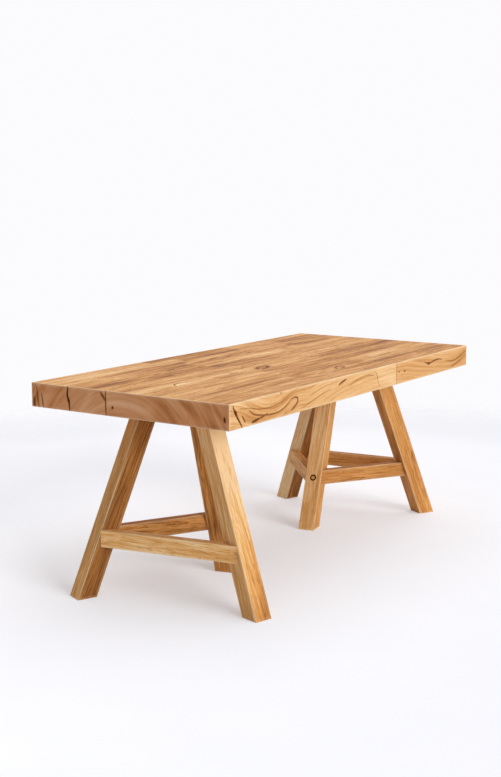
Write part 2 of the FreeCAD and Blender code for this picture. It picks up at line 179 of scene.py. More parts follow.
def add_node(
    tree: bpy.types.NodeTree,
    kind: str,
    inputs: Optional[dict] = None,
    stops: Sequence[tuple[float, str]] = (),
    out: int | str = 0,
    **settings: object,
) -> Optional[Socket]:
    """Add a node with its settings, values and links.

    Args:
        tree: The node tree that takes the node.
        kind: The node's type name, without ShaderNode before it.
        inputs: Values or linked sockets by input name or number.
        stops: Positions and hex colours of a colour ramp.
        out: Name or number of the output to hand back.
        **settings: Properties of the node.

    Returns:
        The chosen output socket, or None for a node that has no output.
    """
    node = tree.nodes.new(f"ShaderNode{kind}")
    for name, value in settings.items():
        setattr(node, name, value)
    for key, value in (inputs or {}).items():
        if isinstance(value, Socket):
            tree.links.new(value, node.inputs[key])
        else:
            node.inputs[key].default_value = value
    for number, (position, code) in enumerate(stops):
        elements = node.color_ramp.elements
        element = elements[number] if number < 2 else elements.new(position)
        element.position = position
        element.color = linear(code)
    return node.outputs[out] if len(node.outputs) else None


def clear_nodes(owner: "bpy.types.Material | bpy.types.World") -> AddNode:
    """Empty the nodes of a material or the world.

    Args:
        owner: The material or the world.

    Returns:
        The function add_node, held to its node tree.
    """
    owner.use_nodes = True
    owner.node_tree.nodes.clear()
    return partial(add_node, owner.node_tree)


def smoothstep(low: float, high: float, value: np.ndarray) -> np.ndarray:
    """Ease from 0 at low to 1 at high by 3t^2 - 2t^3, t being the clipped share of the way.

    Args:
        low: The value that gives 0.
        high: The value that gives 1.
        value: The values to ease.

    Returns:
        The eased values.
    """
    share = np.clip((value - low) / (high - low), 0.0, 1.0)
    return share * share * (3.0 - 2.0 * share)


def disc(u: np.ndarray, v: np.ndarray, radius: float) -> tuple[np.ndarray, np.ndarray]:
    """Round a square into a disc: u sqrt(1 - v^2/2) and v sqrt(1 - u^2/2), times the radius.

    Args:
        u: Places along the square, from -1 to 1.
        v: Places across it, from -1 to 1.
        radius: Radius of the disc.

    Returns:
        The places along and across the disc.
    """
    return radius * u * np.sqrt(1.0 - 0.5 * v * v), radius * v * np.sqrt(1.0 - 0.5 * u * u)


@dataclass
class Band:
    """A stretch of a grid that takes finer lines.

    Attributes:
        start: Where it begins.
        stop: Where it ends.
        step: Distance between its lines.
    """

    start: float
    stop: float
    step: float = FINE_GRID

    @classmethod
    def merged(cls, bands: Sequence["Band"], low: float, high: float) -> list["Band"]:
        """Clip bands to a stretch and join those that overlap, at the finer step of the two.

        Args:
            bands: The bands.
            low: Start of the stretch.
            high: End of the stretch.

        Returns:
            Bands that lie apart, in order.
        """
        joined: list[Band] = []
        for band in sorted(bands, key=lambda one: one.start):
            start, stop = max(band.start, low), min(band.stop, high)
            if joined and start <= joined[-1].stop:
                last = joined[-1]
                last.stop, last.step = max(stop, last.stop), min(band.step, last.step)
            elif stop > start:
                joined.append(cls(start, stop, band.step))
        return joined


def grid_lines(
    low: float, high: float, arris: float, bands: Sequence[Band] = (), coarse: float = COARSE_GRID
) -> np.ndarray:
    """Lay out the lines of a grid: coarse overall, fine in bands, closest at both arrises.

    Args:
        low: The first line.
        high: The last line.
        arris: Radius of the eased edge at each end.
        bands: Stretches that take fine lines.
        coarse: Distance between the lines elsewhere.

    Returns:
        The sorted places of the lines.
    """
    wide = np.linspace(low, high, max(2, int(round((high - low) / coarse)) + 1))
    parts = [low + arris * ARRIS_LINES, high - arris * ARRIS_LINES]
    for band in Band.merged(bands, low, high):
        parts.append(np.linspace(band.start, band.stop, int((band.stop - band.start) / band.step) + 2))
        wide = wide[(wide < band.start) | (wide > band.stop)]
    lines = np.unique(np.concatenate(parts + [wide]))
    lines = lines[(lines >= low) & (lines <= high)]
    lines = lines[np.concatenate([[True], np.diff(lines) > LEAST_GAP])]
    lines[-1] = high
    return lines


@dataclass
class Block:
    """The closed surface of a box as six welded grids.

    Attributes:
        points: The points, one row each.
        quads: Four point numbers for each face, turning outwards.
        sides: The side that each face lies on.
        low: The box's lowest corner.
        high: The box's highest corner.
    """

    points: np.ndarray
    quads: np.ndarray
    sides: np.ndarray
    low: np.ndarray
    high: np.ndarray

    @classmethod
    def from_lines(cls, lines: Sequence[np.ndarray]) -> "Block":
        """Lay a grid over each side of a box: one axis held, the other two run over their lines.

        Args:
            lines: The grid lines of the three axes.

        Returns:
            The block, with the points shared by neighbouring sides welded.
        """
        points, quads, sides, count = [], [], [], 0
        for axis in range(3):
            first, second = (axis + 1) % 3, (axis + 2) % 3
            u, v = np.meshgrid(lines[first], lines[second], indexing="ij")
            number = np.arange(u.size).reshape(u.shape)
            ring = [number[:-1, :-1], number[1:, :-1], number[1:, 1:], number[:-1, 1:]]
            face = np.stack(ring, axis=-1).reshape(-1, 4)
            for end in (0, 1):
                spot = np.empty((u.size, 3))
                spot[:, axis] = lines[axis][-end]
                spot[:, first] = u.ravel()
                spot[:, second] = v.ravel()
                points.append(spot)
                quads.append((face if end else face[:, ::-1]) + count)
                sides.append(np.full(len(face), 2 * axis + end))
                count += u.size
        welded, inverse = np.unique(np.concatenate(points), axis=0, return_inverse=True)
        return cls(
            welded,
            inverse.ravel()[np.concatenate(quads)],
            np.concatenate(sides),
            np.array([line[0] for line in lines]),
            np.array([line[-1] for line in lines]),
        )

    def on(self, *sides: Side) -> np.ndarray:
        """Tell which faces lie on any of some sides."""
        return np.isin(self.sides, sides)

    def corners(self) -> np.ndarray:
        """The places of the four corners of every face."""
        return self.points[self.quads]

    def depth(self, side: Side) -> np.ndarray:
        """Measure how far each point lies inside one side of the box.

        Args:
            side: The side.

        Returns:
            The depth of every point.
        """
        axis = side // 2
        place = self.points[:, axis]
        return self.high[axis] - place if side % 2 else place - self.low[axis]

    def ease(self, first: Side, second: Side, radius: float) -> None:
        """Round one edge: points past the arc between two sides are drawn back onto it.

        Args:
            first: One side at the edge.
            second: The other side.
            radius: Radius of the arc.
        """
        past_first = radius - self.depth(first)
        past_second = radius - self.depth(second)
        reach = np.hypot(past_first, past_second)
        over = (past_first > 0) & (past_second > 0) & (reach > radius)
        pull = np.where(over, 1.0 - radius / np.maximum(reach, TINY), 0.0)
        for side, past in ((first, past_first), (second, past_second)):
            inward = -1.0 if side % 2 else 1.0
            self.points[:, side // 2] += inward * pull * past

    def edge_wear(self, edges: Sequence[tuple[Side, Side]], reach: float) -> np.ndarray:
        """Paleness of wear and painted highlight, fading from each edge: exp(-d / reach), d the
        distance from the edge.

        Args:
            edges: Pairs of sides that meet in a worn edge.
            reach: Distance over which the wear fades.

        Returns:
            The paleness at every point, from 0 to 1.
        """
        wear = np.zeros(len(self.points))
        for first, second in edges:
            away = np.hypot(self.depth(first), self.depth(second))
            wear = np.maximum(wear, np.exp(-away / reach))
        return wear


def make_piece(
    name: str,
    block: Block,
    material: bpy.types.Material,
    corner_data: Optional[dict[Wood, np.ndarray]] = None,
    point_data: Optional[dict[Wood, np.ndarray]] = None,
) -> bpy.types.Object:
    """Put a block's surface and its attributes into a new object.

    Args:
        name: Name of the piece.
        block: The surface, in the table's frame.
        material: The finish.
        corner_data: Attributes with a value for each corner of each face.
        point_data: Attributes with a value for each point.

    Returns:
        The object, at the origin with its place in its mesh.
    """
    mesh = bpy.data.meshes.new(name)
    mesh.vertices.add(len(block.points))
    mesh.vertices.foreach_set("co", block.points.astype(np.float32).ravel())
    mesh.loops.add(block.quads.size)
    mesh.loops.foreach_set("vertex_index", block.quads.astype(np.int32).ravel())
    mesh.polygons.add(len(block.quads))
    mesh.polygons.foreach_set("loop_start", np.arange(0, block.quads.size, 4, dtype=np.int32))
    mesh.polygons.foreach_set("use_smooth", np.ones(len(block.quads), dtype=bool))
    mesh.update(calc_edges=True)
    mesh.validate()
    for domain, data in (("CORNER", corner_data or {}), ("POINT", point_data or {})):
        for key, values in data.items():
            kind, slot = ("FLOAT_VECTOR", "vector") if key is Wood.GRAIN else ("FLOAT", "value")
            layer = mesh.attributes.new(key.value, kind, domain)
            layer.data.foreach_set(slot, values.astype(np.float32).ravel())
    mesh.set_sharp_from_angle(angle=SHARP_ANGLE)
    mesh.materials.append(material)
    piece = bpy.data.objects.new(name, mesh)
    bpy.context.scene.collection.objects.link(piece)
    return piece


def node_points(node: str) -> np.ndarray:
    """Read the points of a construction node.

    Args:
        node: The node.

    Returns:
        The points, one row each.
    """
    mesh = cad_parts[node].data
    flat = np.empty(len(mesh.vertices) * 3, np.float32)
    mesh.vertices.foreach_get("co", flat)
    return flat.reshape(-1, 3).astype(float)


def middle(points: np.ndarray) -> np.ndarray:
    """The middle of the box round some points."""
    return 0.5 * (points.min(axis=0) + points.max(axis=0))


def dress(node: str, material: bpy.types.Material) -> bpy.types.Object:
    """Give a construction node that shows its own shape a finish.

    Args:
        node: The node.
        material: The finish.

    Returns:
        The node's object.
    """
    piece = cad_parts[node]
    for slot in piece.material_slots:
        slot.material = material
    return piece


@dataclass(frozen=True)
class Figure:
    """One layer of a wood's figure: noise drawn out along the grain.

    Attributes:
        length: Size along the grain, in millimetres.
        width: Size across the grain, in millimetres.
        weight: Share of the figure in the wood's tone.
        detail: Octaves of finer noise.
        roughness: Share of each octave in the next finer one.
    """

    length: float
    width: float
    weight: float = 0.0
    detail: float = 2.0
    roughness: float = 0.6

    def draw(self, add: AddNode, grain: Socket, out: str = "Fac") -> Socket:
        """Draw the layer.

        Args:
            add: Adds a node to the finish.
            grain: The grain field.
            out: Fac for a single value, Color for three.

        Returns:
            The layer's socket.
        """
        across = 1 / (self.width * MM)
        per_metre = (1 / (self.length * MM), across, across)
        scaled = add("VectorMath", {0: grain, 1: per_metre}, operation="MULTIPLY")
        values = {"Vector": scaled, "Scale": 1.0, "Detail": self.detail, "Roughness": self.roughness}
        return add("TexNoise", values, out=out)


@dataclass(frozen=True)
class WoodFinish:
    """Oak, planed and oiled: golden, matt, with brown latewood lines and fine dark pores.

    The eye sees soft bands first, then lengthwise streaks and broken ring lines, darker browner
    ends and arrises rubbed paler, the paleness also a painted highlight where light catches them.
    Pores and fibres are drawn two or three times as coarse as real ones, so that they show at the
    photograph's size. Another wood has shades and weights of its own.

    A level of tone picks the colour between the shades. It is the board's own tone, plus the soft
    layers by the contrast of its bands and the fine layers by that of its lines, less what
    latewood, pores, stains and the painted shade in recesses take off.

    Attributes:
        name: Name of the material.
        shades: Colours of the wood, from dark to pale.
        shade_levels: The levels of tone that they stand at.
        end_shade: What end grain is multiplied by.
        stain_shade: Colour round a mark, and the paler part of painted shade in sockets and at the
            key.
        crack_shade: Colour down in a mark, and the darkest painted shade in sockets and at the key.
        worn_shade: Colour of a rubbed arris, which is also a painted highlight where light catches it.
        least_rub: Share of an arris that is rubbed even where the fibres lie low.
        patch: Broad soft patches.
        streak: Streaks along the grain.
        fibre: Fibres, which also roughen and raise the surface.
        pore: Open pores, which are also sunk.
        drift: Size of the rings' wandering.
        wander: How far the rings wander, in millimetres.
        band_width: Width of the broad growth bands, in millimetres.
        band_weight: Share of the bands in the tone.
        ring_width: Width of the thin growth rings, in millimetres.
        ring_weight: Share of the rings in the tone.
        ring_detail: Octaves of finer noise in bands and rings.
        ring_roughness: Share of each of these octaves in the next finer one.
        late_span: Values of the rings' noise between which latewood comes in.
        late_share: Strength of the latewood.
        pore_span: Values of the pores' noise between which a pore opens.
        pore_share: Strength of the pores.
        stain_span: Values of a mark between which its stain comes in.
        crack_span: Values of a mark between which its dark inside comes in.
        drops: What latewood, pores and stains take off the level.
        lift: What the whole finish is paler by.
        fibre_span: Values of the fibres' noise between which the roughness changes.
        roughness: Roughness where the fibres lie low and where they stand up.
        bump: Strength of the raised fibres.
        bump_height: Their height, in millimetres.
        pore_sink: Depth of a pore, as a share of that height.
        ior: Refraction of oiled wood.
        specular: Level of its gloss, low because the oil is soaked in.
        place_shift: Place of the pith for a piece with no grain field of its own.
    """

    name: str
    shades: tuple[str, ...] = ("#7A4A22", "#AC733A", "#CF965A", "#E1B27A", "#F0CF9F")
    shade_levels: tuple[float, ...] = (0.05, 0.3, 0.5, 0.72, 0.95)
    end_shade: str = "#F2E0E8"
    stain_shade: str = "#6B3A14"
    crack_shade: str = "#1E0F08"
    worn_shade: str = "#F3D9AC"
    least_rub: float = 0.3
    patch: Figure = Figure(520, 46, 0.9, 1.0)
    streak: Figure = Figure(380, 15, 0.75)
    fibre: Figure = Figure(170, 6, 0.8, 3.0)
    pore: Figure = Figure(34, 2.4, detail=1.0)
    drift: Figure = Figure(260, 55)
    wander: float = 6.0
    band_width: float = 26.0
    band_weight: float = 0.8
    ring_width: float = 9.0
    ring_weight: float = 0.5
    ring_detail: float = 2.0
    ring_roughness: float = 0.55
    late_span: tuple[float, float] = (0.55, 0.68)
    late_share: float = 0.7
    pore_span: tuple[float, float] = (0.6, 0.72)
    pore_share: float = 0.4
    stain_span: tuple[float, float] = (0.0, 0.7)
    crack_span: tuple[float, float] = (0.6, 1.0)
    drops: tuple[float, float, float] = (0.85, 0.9, 0.6)
    lift: float = 0.0
    fibre_span: tuple[float, float] = (0.3, 0.7)
    roughness: tuple[float, float] = (0.68, 0.52)
    bump: float = 0.35
    bump_height: float = 0.6
    pore_sink: float = 0.8
    ior: float = 1.47
    specular: float = 0.15
    place_shift: tuple[float, float, float] = (0.3, 0.21, 0.09)

    def grain_field(self, add: AddNode, source: GrainSource) -> Socket:
        """Read the grain field: x along the trunk, y and z from its pith.

        Args:
            add: Adds a node to the finish.
            source: Where the field comes from.

        Returns:
            The socket that carries the field.
        """
        if source is GrainSource.BOARD:
            return add("Attribute", attribute_name=Wood.GRAIN.value, out="Vector")
        place = add("TexCoord", out="Object")
        return add("Mapping", {"Vector": place, "Location": self.place_shift})

    def rings(self, add: AddNode, grain: Socket) -> list[Socket]:
        """Draw bands and ring lines: noise over the wandering distance from the pith.

        Args:
            add: Adds a node to the finish.
            grain: The grain field.

        Returns:
            The sockets of the broad bands and of the thin rings.
        """
        drift = self.drift.draw(add, grain, "Color")
        push = add("VectorMath", {0: drift, 1: (NOISE_MIDDLE,) * 3}, operation="SUBTRACT")
        reach = self.wander * MM / NOISE_SWING
        bent = add(
            "VectorMath", {0: push, 1: (0.0, reach, reach), 2: grain}, operation="MULTIPLY_ADD"
        )
        across = add("VectorMath", {0: bent, 1: (0.0, 1.0, 1.0)}, operation="MULTIPLY")
        radius = add("VectorMath", {0: across}, operation="LENGTH", out="Value")
        values = {"Scale": 1.0, "Detail": self.ring_detail, "Roughness": self.ring_roughness}
        drawn = []
        for width in (self.band_width, self.ring_width):
            turns = add("Math", {0: radius, 1: 1 / (width * MM)}, operation="MULTIPLY")
            drawn.append(add("TexNoise", {"W": turns, **values}, noise_dimensions="1D"))
        return drawn

    def material(self, source: GrainSource) -> bpy.types.Material:
        """Make the finish's node material.

        Args:
            source: Where the grain field comes from.

        Returns:
            The material.
        """
        made = bpy.data.materials.new(self.name)
        add = clear_nodes(made)
        # A number that a piece doesn't carry reads as zero.
        board = {
            key: add("Attribute", attribute_name=key.value, out="Fac")
            for key in Wood
            if key is not Wood.GRAIN
        }
        grain = self.grain_field(add, source)
        band, ring = self.rings(add, grain)
        patch, streak, fibre, pore = (
            layer.draw(add, grain) for layer in (self.patch, self.streak, self.fibre, self.pore)
        )
        bands, lines = (
            add("Math", {0: board[key], 1: 1.0}, operation="ADD") for key in (Wood.BANDS, Wood.LINES)
        )
        level = add("Math", {0: board[Wood.TONE], 1: NOISE_MIDDLE + self.lift}, operation="ADD")
        soft = ((band, self.band_weight), (patch, self.patch.weight), (streak, self.streak.weight))
        fine = ((ring, self.ring_weight), (fibre, self.fibre.weight))
        for layers, contrast in ((soft, bands), (fine, lines)):
            drawn: object = -NOISE_MIDDLE * sum(weight for _, weight in layers)
            for layer, weight in layers:
                drawn = add("Math", {0: layer, 1: weight, 2: drawn}, operation="MULTIPLY_ADD")
            level = add("Math", {0: drawn, 1: contrast, 2: level}, operation="MULTIPLY_ADD")
        # The mark attribute also holds painted shade in sockets and at the key, drawn by the stain and
        # crack colours.
        late, open_pore, stain, crack = (
            add("MapRange", {"Value": value, "From Min": low, "From Max": high, "To Max": share})
            for value, (low, high), share in (
                (ring, self.late_span, self.late_share),
                (pore, self.pore_span, self.pore_share),
                (board[Wood.MARK], self.stain_span, 1.0),
                (board[Wood.MARK], self.crack_span, 1.0),
            )
        )
        late = add("Math", {0: late, 1: streak}, operation="MULTIPLY")
        late, open_pore = (
            add("Math", {0: layer, 1: lines}, operation="MULTIPLY") for layer in (late, open_pore)
        )
        for layer, drop in zip((late, open_pore, stain), self.drops):
            level = add("Math", {0: layer, 1: -drop, 2: level}, operation="MULTIPLY_ADD")
        colour = add("ValToRGB", {"Fac": level}, stops=tuple(zip(self.shade_levels, self.shades)))
        # Arrises go paler: rubbed wear, and a painted highlight where the light catches them.
        broken = add("Math", {0: fibre, 1: self.least_rub}, operation="ADD")
        rubbed = add("Math", {0: board[Wood.EDGE], 1: broken}, operation="MULTIPLY")
        for share, code, way in (
            (rubbed, self.worn_shade, "MIX"),
            (board[Wood.END], self.end_shade, "MULTIPLY"),
            (stain, self.stain_shade, "MIX"),
            (crack, self.crack_shade, "MIX"),
        ):
            colour = add(
                "Mix",
                {MIX_FACTOR: share, MIX_A: colour, MIX_B: linear(code)},
                out=MIX_RESULT,
                data_type="RGBA",
                blend_type=way,
            )
        names = ("From Min", "From Max", "To Min", "To Max")
        rough = add(
            "MapRange", {"Value": fibre, **dict(zip(names, (*self.fibre_span, *self.roughness)))}
        )
        height = add("Math", {0: open_pore, 1: -self.pore_sink, 2: fibre}, operation="MULTIPLY_ADD")
        relief = {"Strength": self.bump, "Distance": self.bump_height * MM, "Height": height}
        shader = add(
            "BsdfPrincipled",
            {
                "Base Color": colour,
                "Roughness": rough,
                "Normal": add("Bump", relief),
                "IOR": self.ior,
                "Specular IOR Level": self.specular,
            },
        )
        add("OutputMaterial", {"Surface": shader})
        return made


@dataclass(frozen=True)
class FacePath:
    """A line on one face of the table top.

    Attributes:
        face: The face that it lies on.
        path: Points in millimetres: along the face, and down or across it from its upper edge.
    """

    face: Face
    path: tuple[tuple[float, float], ...]


@dataclass(frozen=True)
class Mark(FacePath):
    """A crack, slit, knot or chip.

    Attributes:
        width: Full width at its middle, in millimetres.
        depth: Depth of the groove, in millimetres.
        dark: Darkness from 0 to 1.
    """

    width: float
    depth: float
    dark: float


@dataclass(frozen=True)
class Shade(FacePath):
    """A soft lighter or darker band.

    Attributes:
        half_width: Half its width, in millimetres.
        tone: Lighter above zero, darker below.
    """

    half_width: float
    tone: float


@dataclass(frozen=True)
class Streak:
    """A long soft stripe in the upper face, in millimetres from the near end and the far edge.

    Attributes:
        start: Where it begins along the top.
        stop: Where it ends.
        across: Its middle, from the far long edge.
        half_width: Half its width.
        tone: Lighter above zero, darker below.
    """

    start: float
    stop: float
    across: float
    half_width: float
    tone: float


class FaceLook(NamedTuple):
    """How a face takes the finish.

    Attributes:
        tone: Lighter above zero, darker below.
        bands: Stronger bands above zero, weaker below.
        lines: Stronger lines above zero, weaker below.
    """

    tone: float = 0.0
    bands: float = 0.0
    lines: float = 0.0


@dataclass(frozen=True)
class Stretch:
    """A length of the long sides that takes the finish in a way of its own.

    Attributes:
        start: Two places along the top, in millimetres, between which it comes in.
        stop: Two places between which it goes out.
        look: What it adds to the sides' look.
    """

    start: tuple[float, float]
    stop: tuple[float, float]
    look: FaceLook


def smooth_path(points: np.ndarray, steps: int = 8) -> np.ndarray:
    """Draw a Catmull-Rom curve through points: a cubic per span, level with its neighbours.

    Args:
        points: The points, one row each.
        steps: Pieces per span.

    Returns:
        The points along the curve.
    """
    if len(points) < 3:
        return points
    padded = np.vstack([2 * points[0] - points[1], points, 2 * points[-1] - points[-2]])
    spans = (padded[:-3], padded[1:-2], padded[2:-1], padded[3:])
    before, start, stop, after = (span[:, None, :] for span in spans)
    t = np.linspace(0.0, 1.0, steps, endpoint=False)[None, :, None]
    curve = 0.5 * (
        2 * start
        + (stop - before) * t
        + (2 * before - 5 * start + 4 * stop - after) * t**2
        + (3 * start - before - 3 * stop + after) * t**3
    )
    return np.vstack([curve.reshape(-1, points.shape[1]), points[-1:]])


def near_path(points: np.ndarray, path: np.ndarray, margin: float) -> np.ndarray:
    """Find the points inside the box of a path that is widened by a margin.

    Args:
        points: The points, one row each.
        path: The path's points.
        margin: The margin.

    Returns:
        The numbers of the points.
    """
    inside = np.all(points > path.min(axis=0) - margin, axis=1)
    inside &= np.all(points < path.max(axis=0) + margin, axis=1)
    return np.flatnonzero(inside)


def along_path(points: np.ndarray, path: np.ndarray) -> tuple[np.ndarray, np.ndarray]:
    """Measure points against a line of short straight spans.

    Args:
        points: The points, one row each.
        path: The line's points.

    Returns:
        Each point's distance from the line, and its share of the way along it.
    """
    start, run = path[:-1], np.diff(path, axis=0)
    length = np.maximum((run**2).sum(axis=1), TINY)
    share = ((points[:, None, :] - start) * run).sum(axis=2) / length
    share = np.clip(share, 0.0, 1.0)
    near = start + share[:, :, None] * run
    away = np.linalg.norm(points[:, None, :] - near, axis=2)
    best = away.argmin(axis=1)
    row = np.arange(len(points))
    return away[row, best], (best + share[row, best]) / len(run)


TOP_MARKS: tuple[Mark, ...] = (
    Mark(Face.LONG, ((20, 8), (27, 22), (36, 34), (46, 50), (58, 64), (72, 84)), 8.0, 5, 0.95),
    Mark(Face.LONG, ((28, 24), (34, 31), (40, 40)), 13.0, 5, 1.0),
    Mark(Face.LONG, ((71, 45), (79, 57), (90, 70)), 6.0, 3, 0.7),
    Mark(Face.LONG, ((128, 75), (145, 73), (168, 69)), 9.0, 2, 0.85),
    Mark(Face.LONG, ((168, 69), (190, 66), (220, 60)), 7.0, 1, 0.5),
    Mark(
        Face.LONG,
        ((112, 36), (135, 50), (170, 58), (205, 63), (245, 66), (285, 65), (318, 57), (345, 45),
         (368, 34), (388, 31)),
        8.0, 2, 0.38,
    ),
    Mark(
        Face.LONG,
        ((372, 33), (390, 30), (405, 34), (408, 44), (400, 54), (386, 62), (368, 71)),
        8.0, 2, 0.56,
    ),
    Mark(Face.LONG, ((60, 22), (110, 27), (170, 38), (230, 42), (290, 36), (340, 22)), 6.0, 1, 0.22),
    Mark(Face.LONG, ((430, 76), (470, 66), (520, 55), (570, 44), (630, 36)), 7.0, 1, 0.18),
    Mark(Face.LONG, ((480, 40), (540, 28), (610, 18), (680, 14)), 6.0, 1, 0.16),
    Mark(Face.LONG, ((688, 27), (705, 22), (722, 18), (742, 14)), 8.0, 3, 0.72),
    Mark(Face.LONG, ((760, 40), (830, 26), (900, 20), (960, 26)), 7.0, 1, 0.22),
    Mark(Face.LONG, ((1158, 37), (1166, 38)), 7.5, 2, 0.6),
    Mark(Face.LONG, ((1204, 40), (1216, 41)), 8.5, 2, 0.6),
    Mark(
        Face.LONG,
        ((1388, 27), (1405, 31), (1424, 35), (1444, 34), (1466, 31), (1492, 28), (1522, 28),
         (1548, 31)),
        8.0, 2, 0.5,
    ),
    Mark(Face.LONG, ((1412, 32), (1424, 35), (1440, 34)), 12.0, 2, 0.7),
    Mark(Face.LONG, ((1590, 44), (1650, 50), (1700, 46), (1750, 34), (1792, 20)), 8.0, 1, 0.22),
    Mark(Face.LONG, ((1640, 74), (1690, 66), (1740, 52), (1790, 36)), 7.0, 1, 0.2),
    Mark(Face.LONG, ((294, 0), (304, 4)), 9.0, 2, 0.25),
    Mark(Face.LONG, ((1140, -9), (1141, 40), (1140, 94)), 4.5, 1, 0.5),
    Mark(Face.LONG, ((964, 12), (980, 30), (986, 52), (1000, 74)), 6.0, 1, 0.3),
    Mark(Face.END, ((167, 0), (165, 18), (164, 36), (171, 50), (172, 62), (174, 85)), 9.0, 9, 1.0),
    Mark(Face.END, ((164, 30), (168, 46), (172, 58)), 11.0, 6, 0.9),
    Mark(Face.END, ((334, 0), (334, 40), (335, 85)), 6.5, 1, 0.7),
    Mark(Face.END, ((312, 8), (322, 20), (333, 34)), 13.0, 2, 0.5),
    Mark(Face.END, ((362, 51), (363, 58)), 10.0, 4, 1.0),
    Mark(Face.END, ((814, 43), (817, 58)), 9.0, 4, 1.0),
    Mark(Face.END, ((11, 50), (12, 68), (15, 85)), 9.0, 2, 0.65),
    Mark(Face.END, ((24, 14), (28, 46), (33, 85)), 9.0, 1, 0.4),
    Mark(Face.END, ((46, 36), (50, 60), (55, 85)), 9.0, 1, 0.4),
    Mark(Face.TOP, ((206, 474), (228, 448), (266, 440), (296, 456)), 9.0, 1, 0.5),
    Mark(Face.TOP, ((696, 486), (722, 462), (756, 450), (792, 458)), 15.0, 1, 0.42),
    Mark(Face.TOP, ((716, 492), (760, 486), (798, 466)), 15.0, 1, 0.45),
    Mark(Face.TOP, ((776, 470), (790, 464), (800, 456)), 13.0, 1, 0.85),
    Mark(Face.TOP, ((872, 722), (896, 702), (926, 692), (950, 704)), 11.0, 1, 0.36),
    Mark(Face.TOP, ((890, 728), (920, 724), (944, 710)), 11.0, 1, 0.36),
    Mark(Face.TOP, ((470, 228), (504, 222), (540, 216)), 9.5, 1, 0.65),
    Mark(Face.TOP, ((364, 254), (388, 249), (416, 244)), 9.0, 1, 0.6),
    Mark(Face.TOP, ((818, 180), (850, 172), (884, 168)), 11.0, 1, 0.7),
    Mark(Face.TOP, ((912, 186), (940, 181), (972, 179)), 9.5, 1, 0.6),
    Mark(Face.TOP, ((1050, 192), (1084, 189), (1118, 187)), 9.5, 1, 0.6),
    Mark(Face.TOP, ((530, 470), (560, 464), (596, 461)), 9.0, 1, 0.6),
    Mark(Face.TOP, ((870, 22), (922, 20)), 9.0, 1, 0.6),
)

TOP_SHADES: tuple[Shade, ...] = (
    Shade(Face.END, ((556, -5), (600, 30), (664, 70)), 15, -0.16),
    Shade(Face.END, ((640, -5), (700, 35), (775, 90)), 22, -0.22),
    Shade(Face.END, ((744, -5), (790, 30), (838, 56)), 14, -0.14),
    Shade(Face.END, ((345, 86), (600, 88), (835, 88)), 12, -0.14),
    Shade(Face.END, ((2, -5), (14, 90)), 20, -0.2),
    Shade(Face.END, ((60, 22), (120, 15), (165, 4)), 17, -0.12),
    Shade(Face.END, ((80, 90), (110, 60), (150, 40)), 12, -0.08),
    Shade(Face.END, ((350, 30), (440, 34), (520, 46)), 26, 0.15),
    Shade(Face.END, ((228, 76), (258, 34), (274, -2)), 13, 0.12),
    Shade(Face.LONG, ((1000, 10), (1060, 40), (1132, 60)), 34, 0.08),
    Shade(Face.LONG, ((1560, 92), (1680, 72), (1780, 30)), 20, -0.1),
    Shade(Face.LONG, ((90, 60), (200, 74), (330, 66)), 12, -0.1),
    Shade(Face.LONG, ((30, 6), (160, 14), (300, 22)), 12, 0.08),
    Shade(Face.TOP, ((706, 474), (752, 470), (792, 464)), 16, -0.3),
    Shade(Face.TOP, ((882, 712), (916, 707), (944, 704)), 13, -0.22),
    Shade(Face.TOP, ((214, 462), (250, 458), (284, 458)), 11, 0.35),
)

TOP_STREAKS: tuple[Streak, ...] = (
    Streak(225, 790, 132, 15, -0.28),
    Streak(340, 740, 307, 15, -0.30),
    Streak(-80, 720, 407, 13, -0.28),
    Streak(1170, 1880, 472, 22, -0.34),
    Streak(1290, 1580, 573, 14, -0.30),
    Streak(60, 450, 568, 11, -0.24),
    Streak(30, 520, 658, 11, -0.26),
    Streak(-80, 230, 262, 20, -0.24),
    Streak(560, 980, 196, 12, -0.22),
    Streak(900, 1500, 92, 14, -0.20),
    Streak(1050, 1700, 740, 13, -0.20),
    Streak(640, 1100, 655, 12, -0.22),
    Streak(-80, 640, 450, 26, 0.20),
    Streak(780, 1230, 250, 28, 0.16),
    Streak(1130, 1520, 625, 30, 0.18),
    Streak(500, 980, 545, 22, 0.18),
    Streak(240, 900, 755, 22, 0.16),
    Streak(-80, 300, 60, 26, 0.14),
)

TOP_LOOK = FaceLook(bands=-0.26)
END_LOOK = FaceLook(0.1, -0.25, -0.72)
LONG_LOOK = FaceLook(0.1, -0.62, -0.3)

# The long sides are plainer in their middle, palest before the butt seam and quiet after it.
LONG_STRETCHES: tuple[Stretch, ...] = (
    Stretch((400, 560), (1135, 1145), FaceLook(0.1, -0.2, -0.1)),
    Stretch((950, 1000), (1139, 1141), FaceLook(tone=0.04)),
    Stretch((1139, 1141), (1900, 1901), FaceLook(lines=-0.25)),
)

# How far the grain lines of the long sides climb against the way along, both in millimetres.
LONG_SIDE_FLOW: tuple[tuple[float, float], ...] = (
    (0, 2), (60, -8), (120, -32), (180, -56), (240, -66), (300, -60), (360, -36), (420, -22),
    (480, -30), (560, -12), (640, 8), (720, 22), (820, 36), (920, 42), (1040, 46), (1150, 48),
    (1230, 42), (1330, 24), (1440, 10), (1560, -4), (1650, -10), (1740, 4), (1800, 18),
)


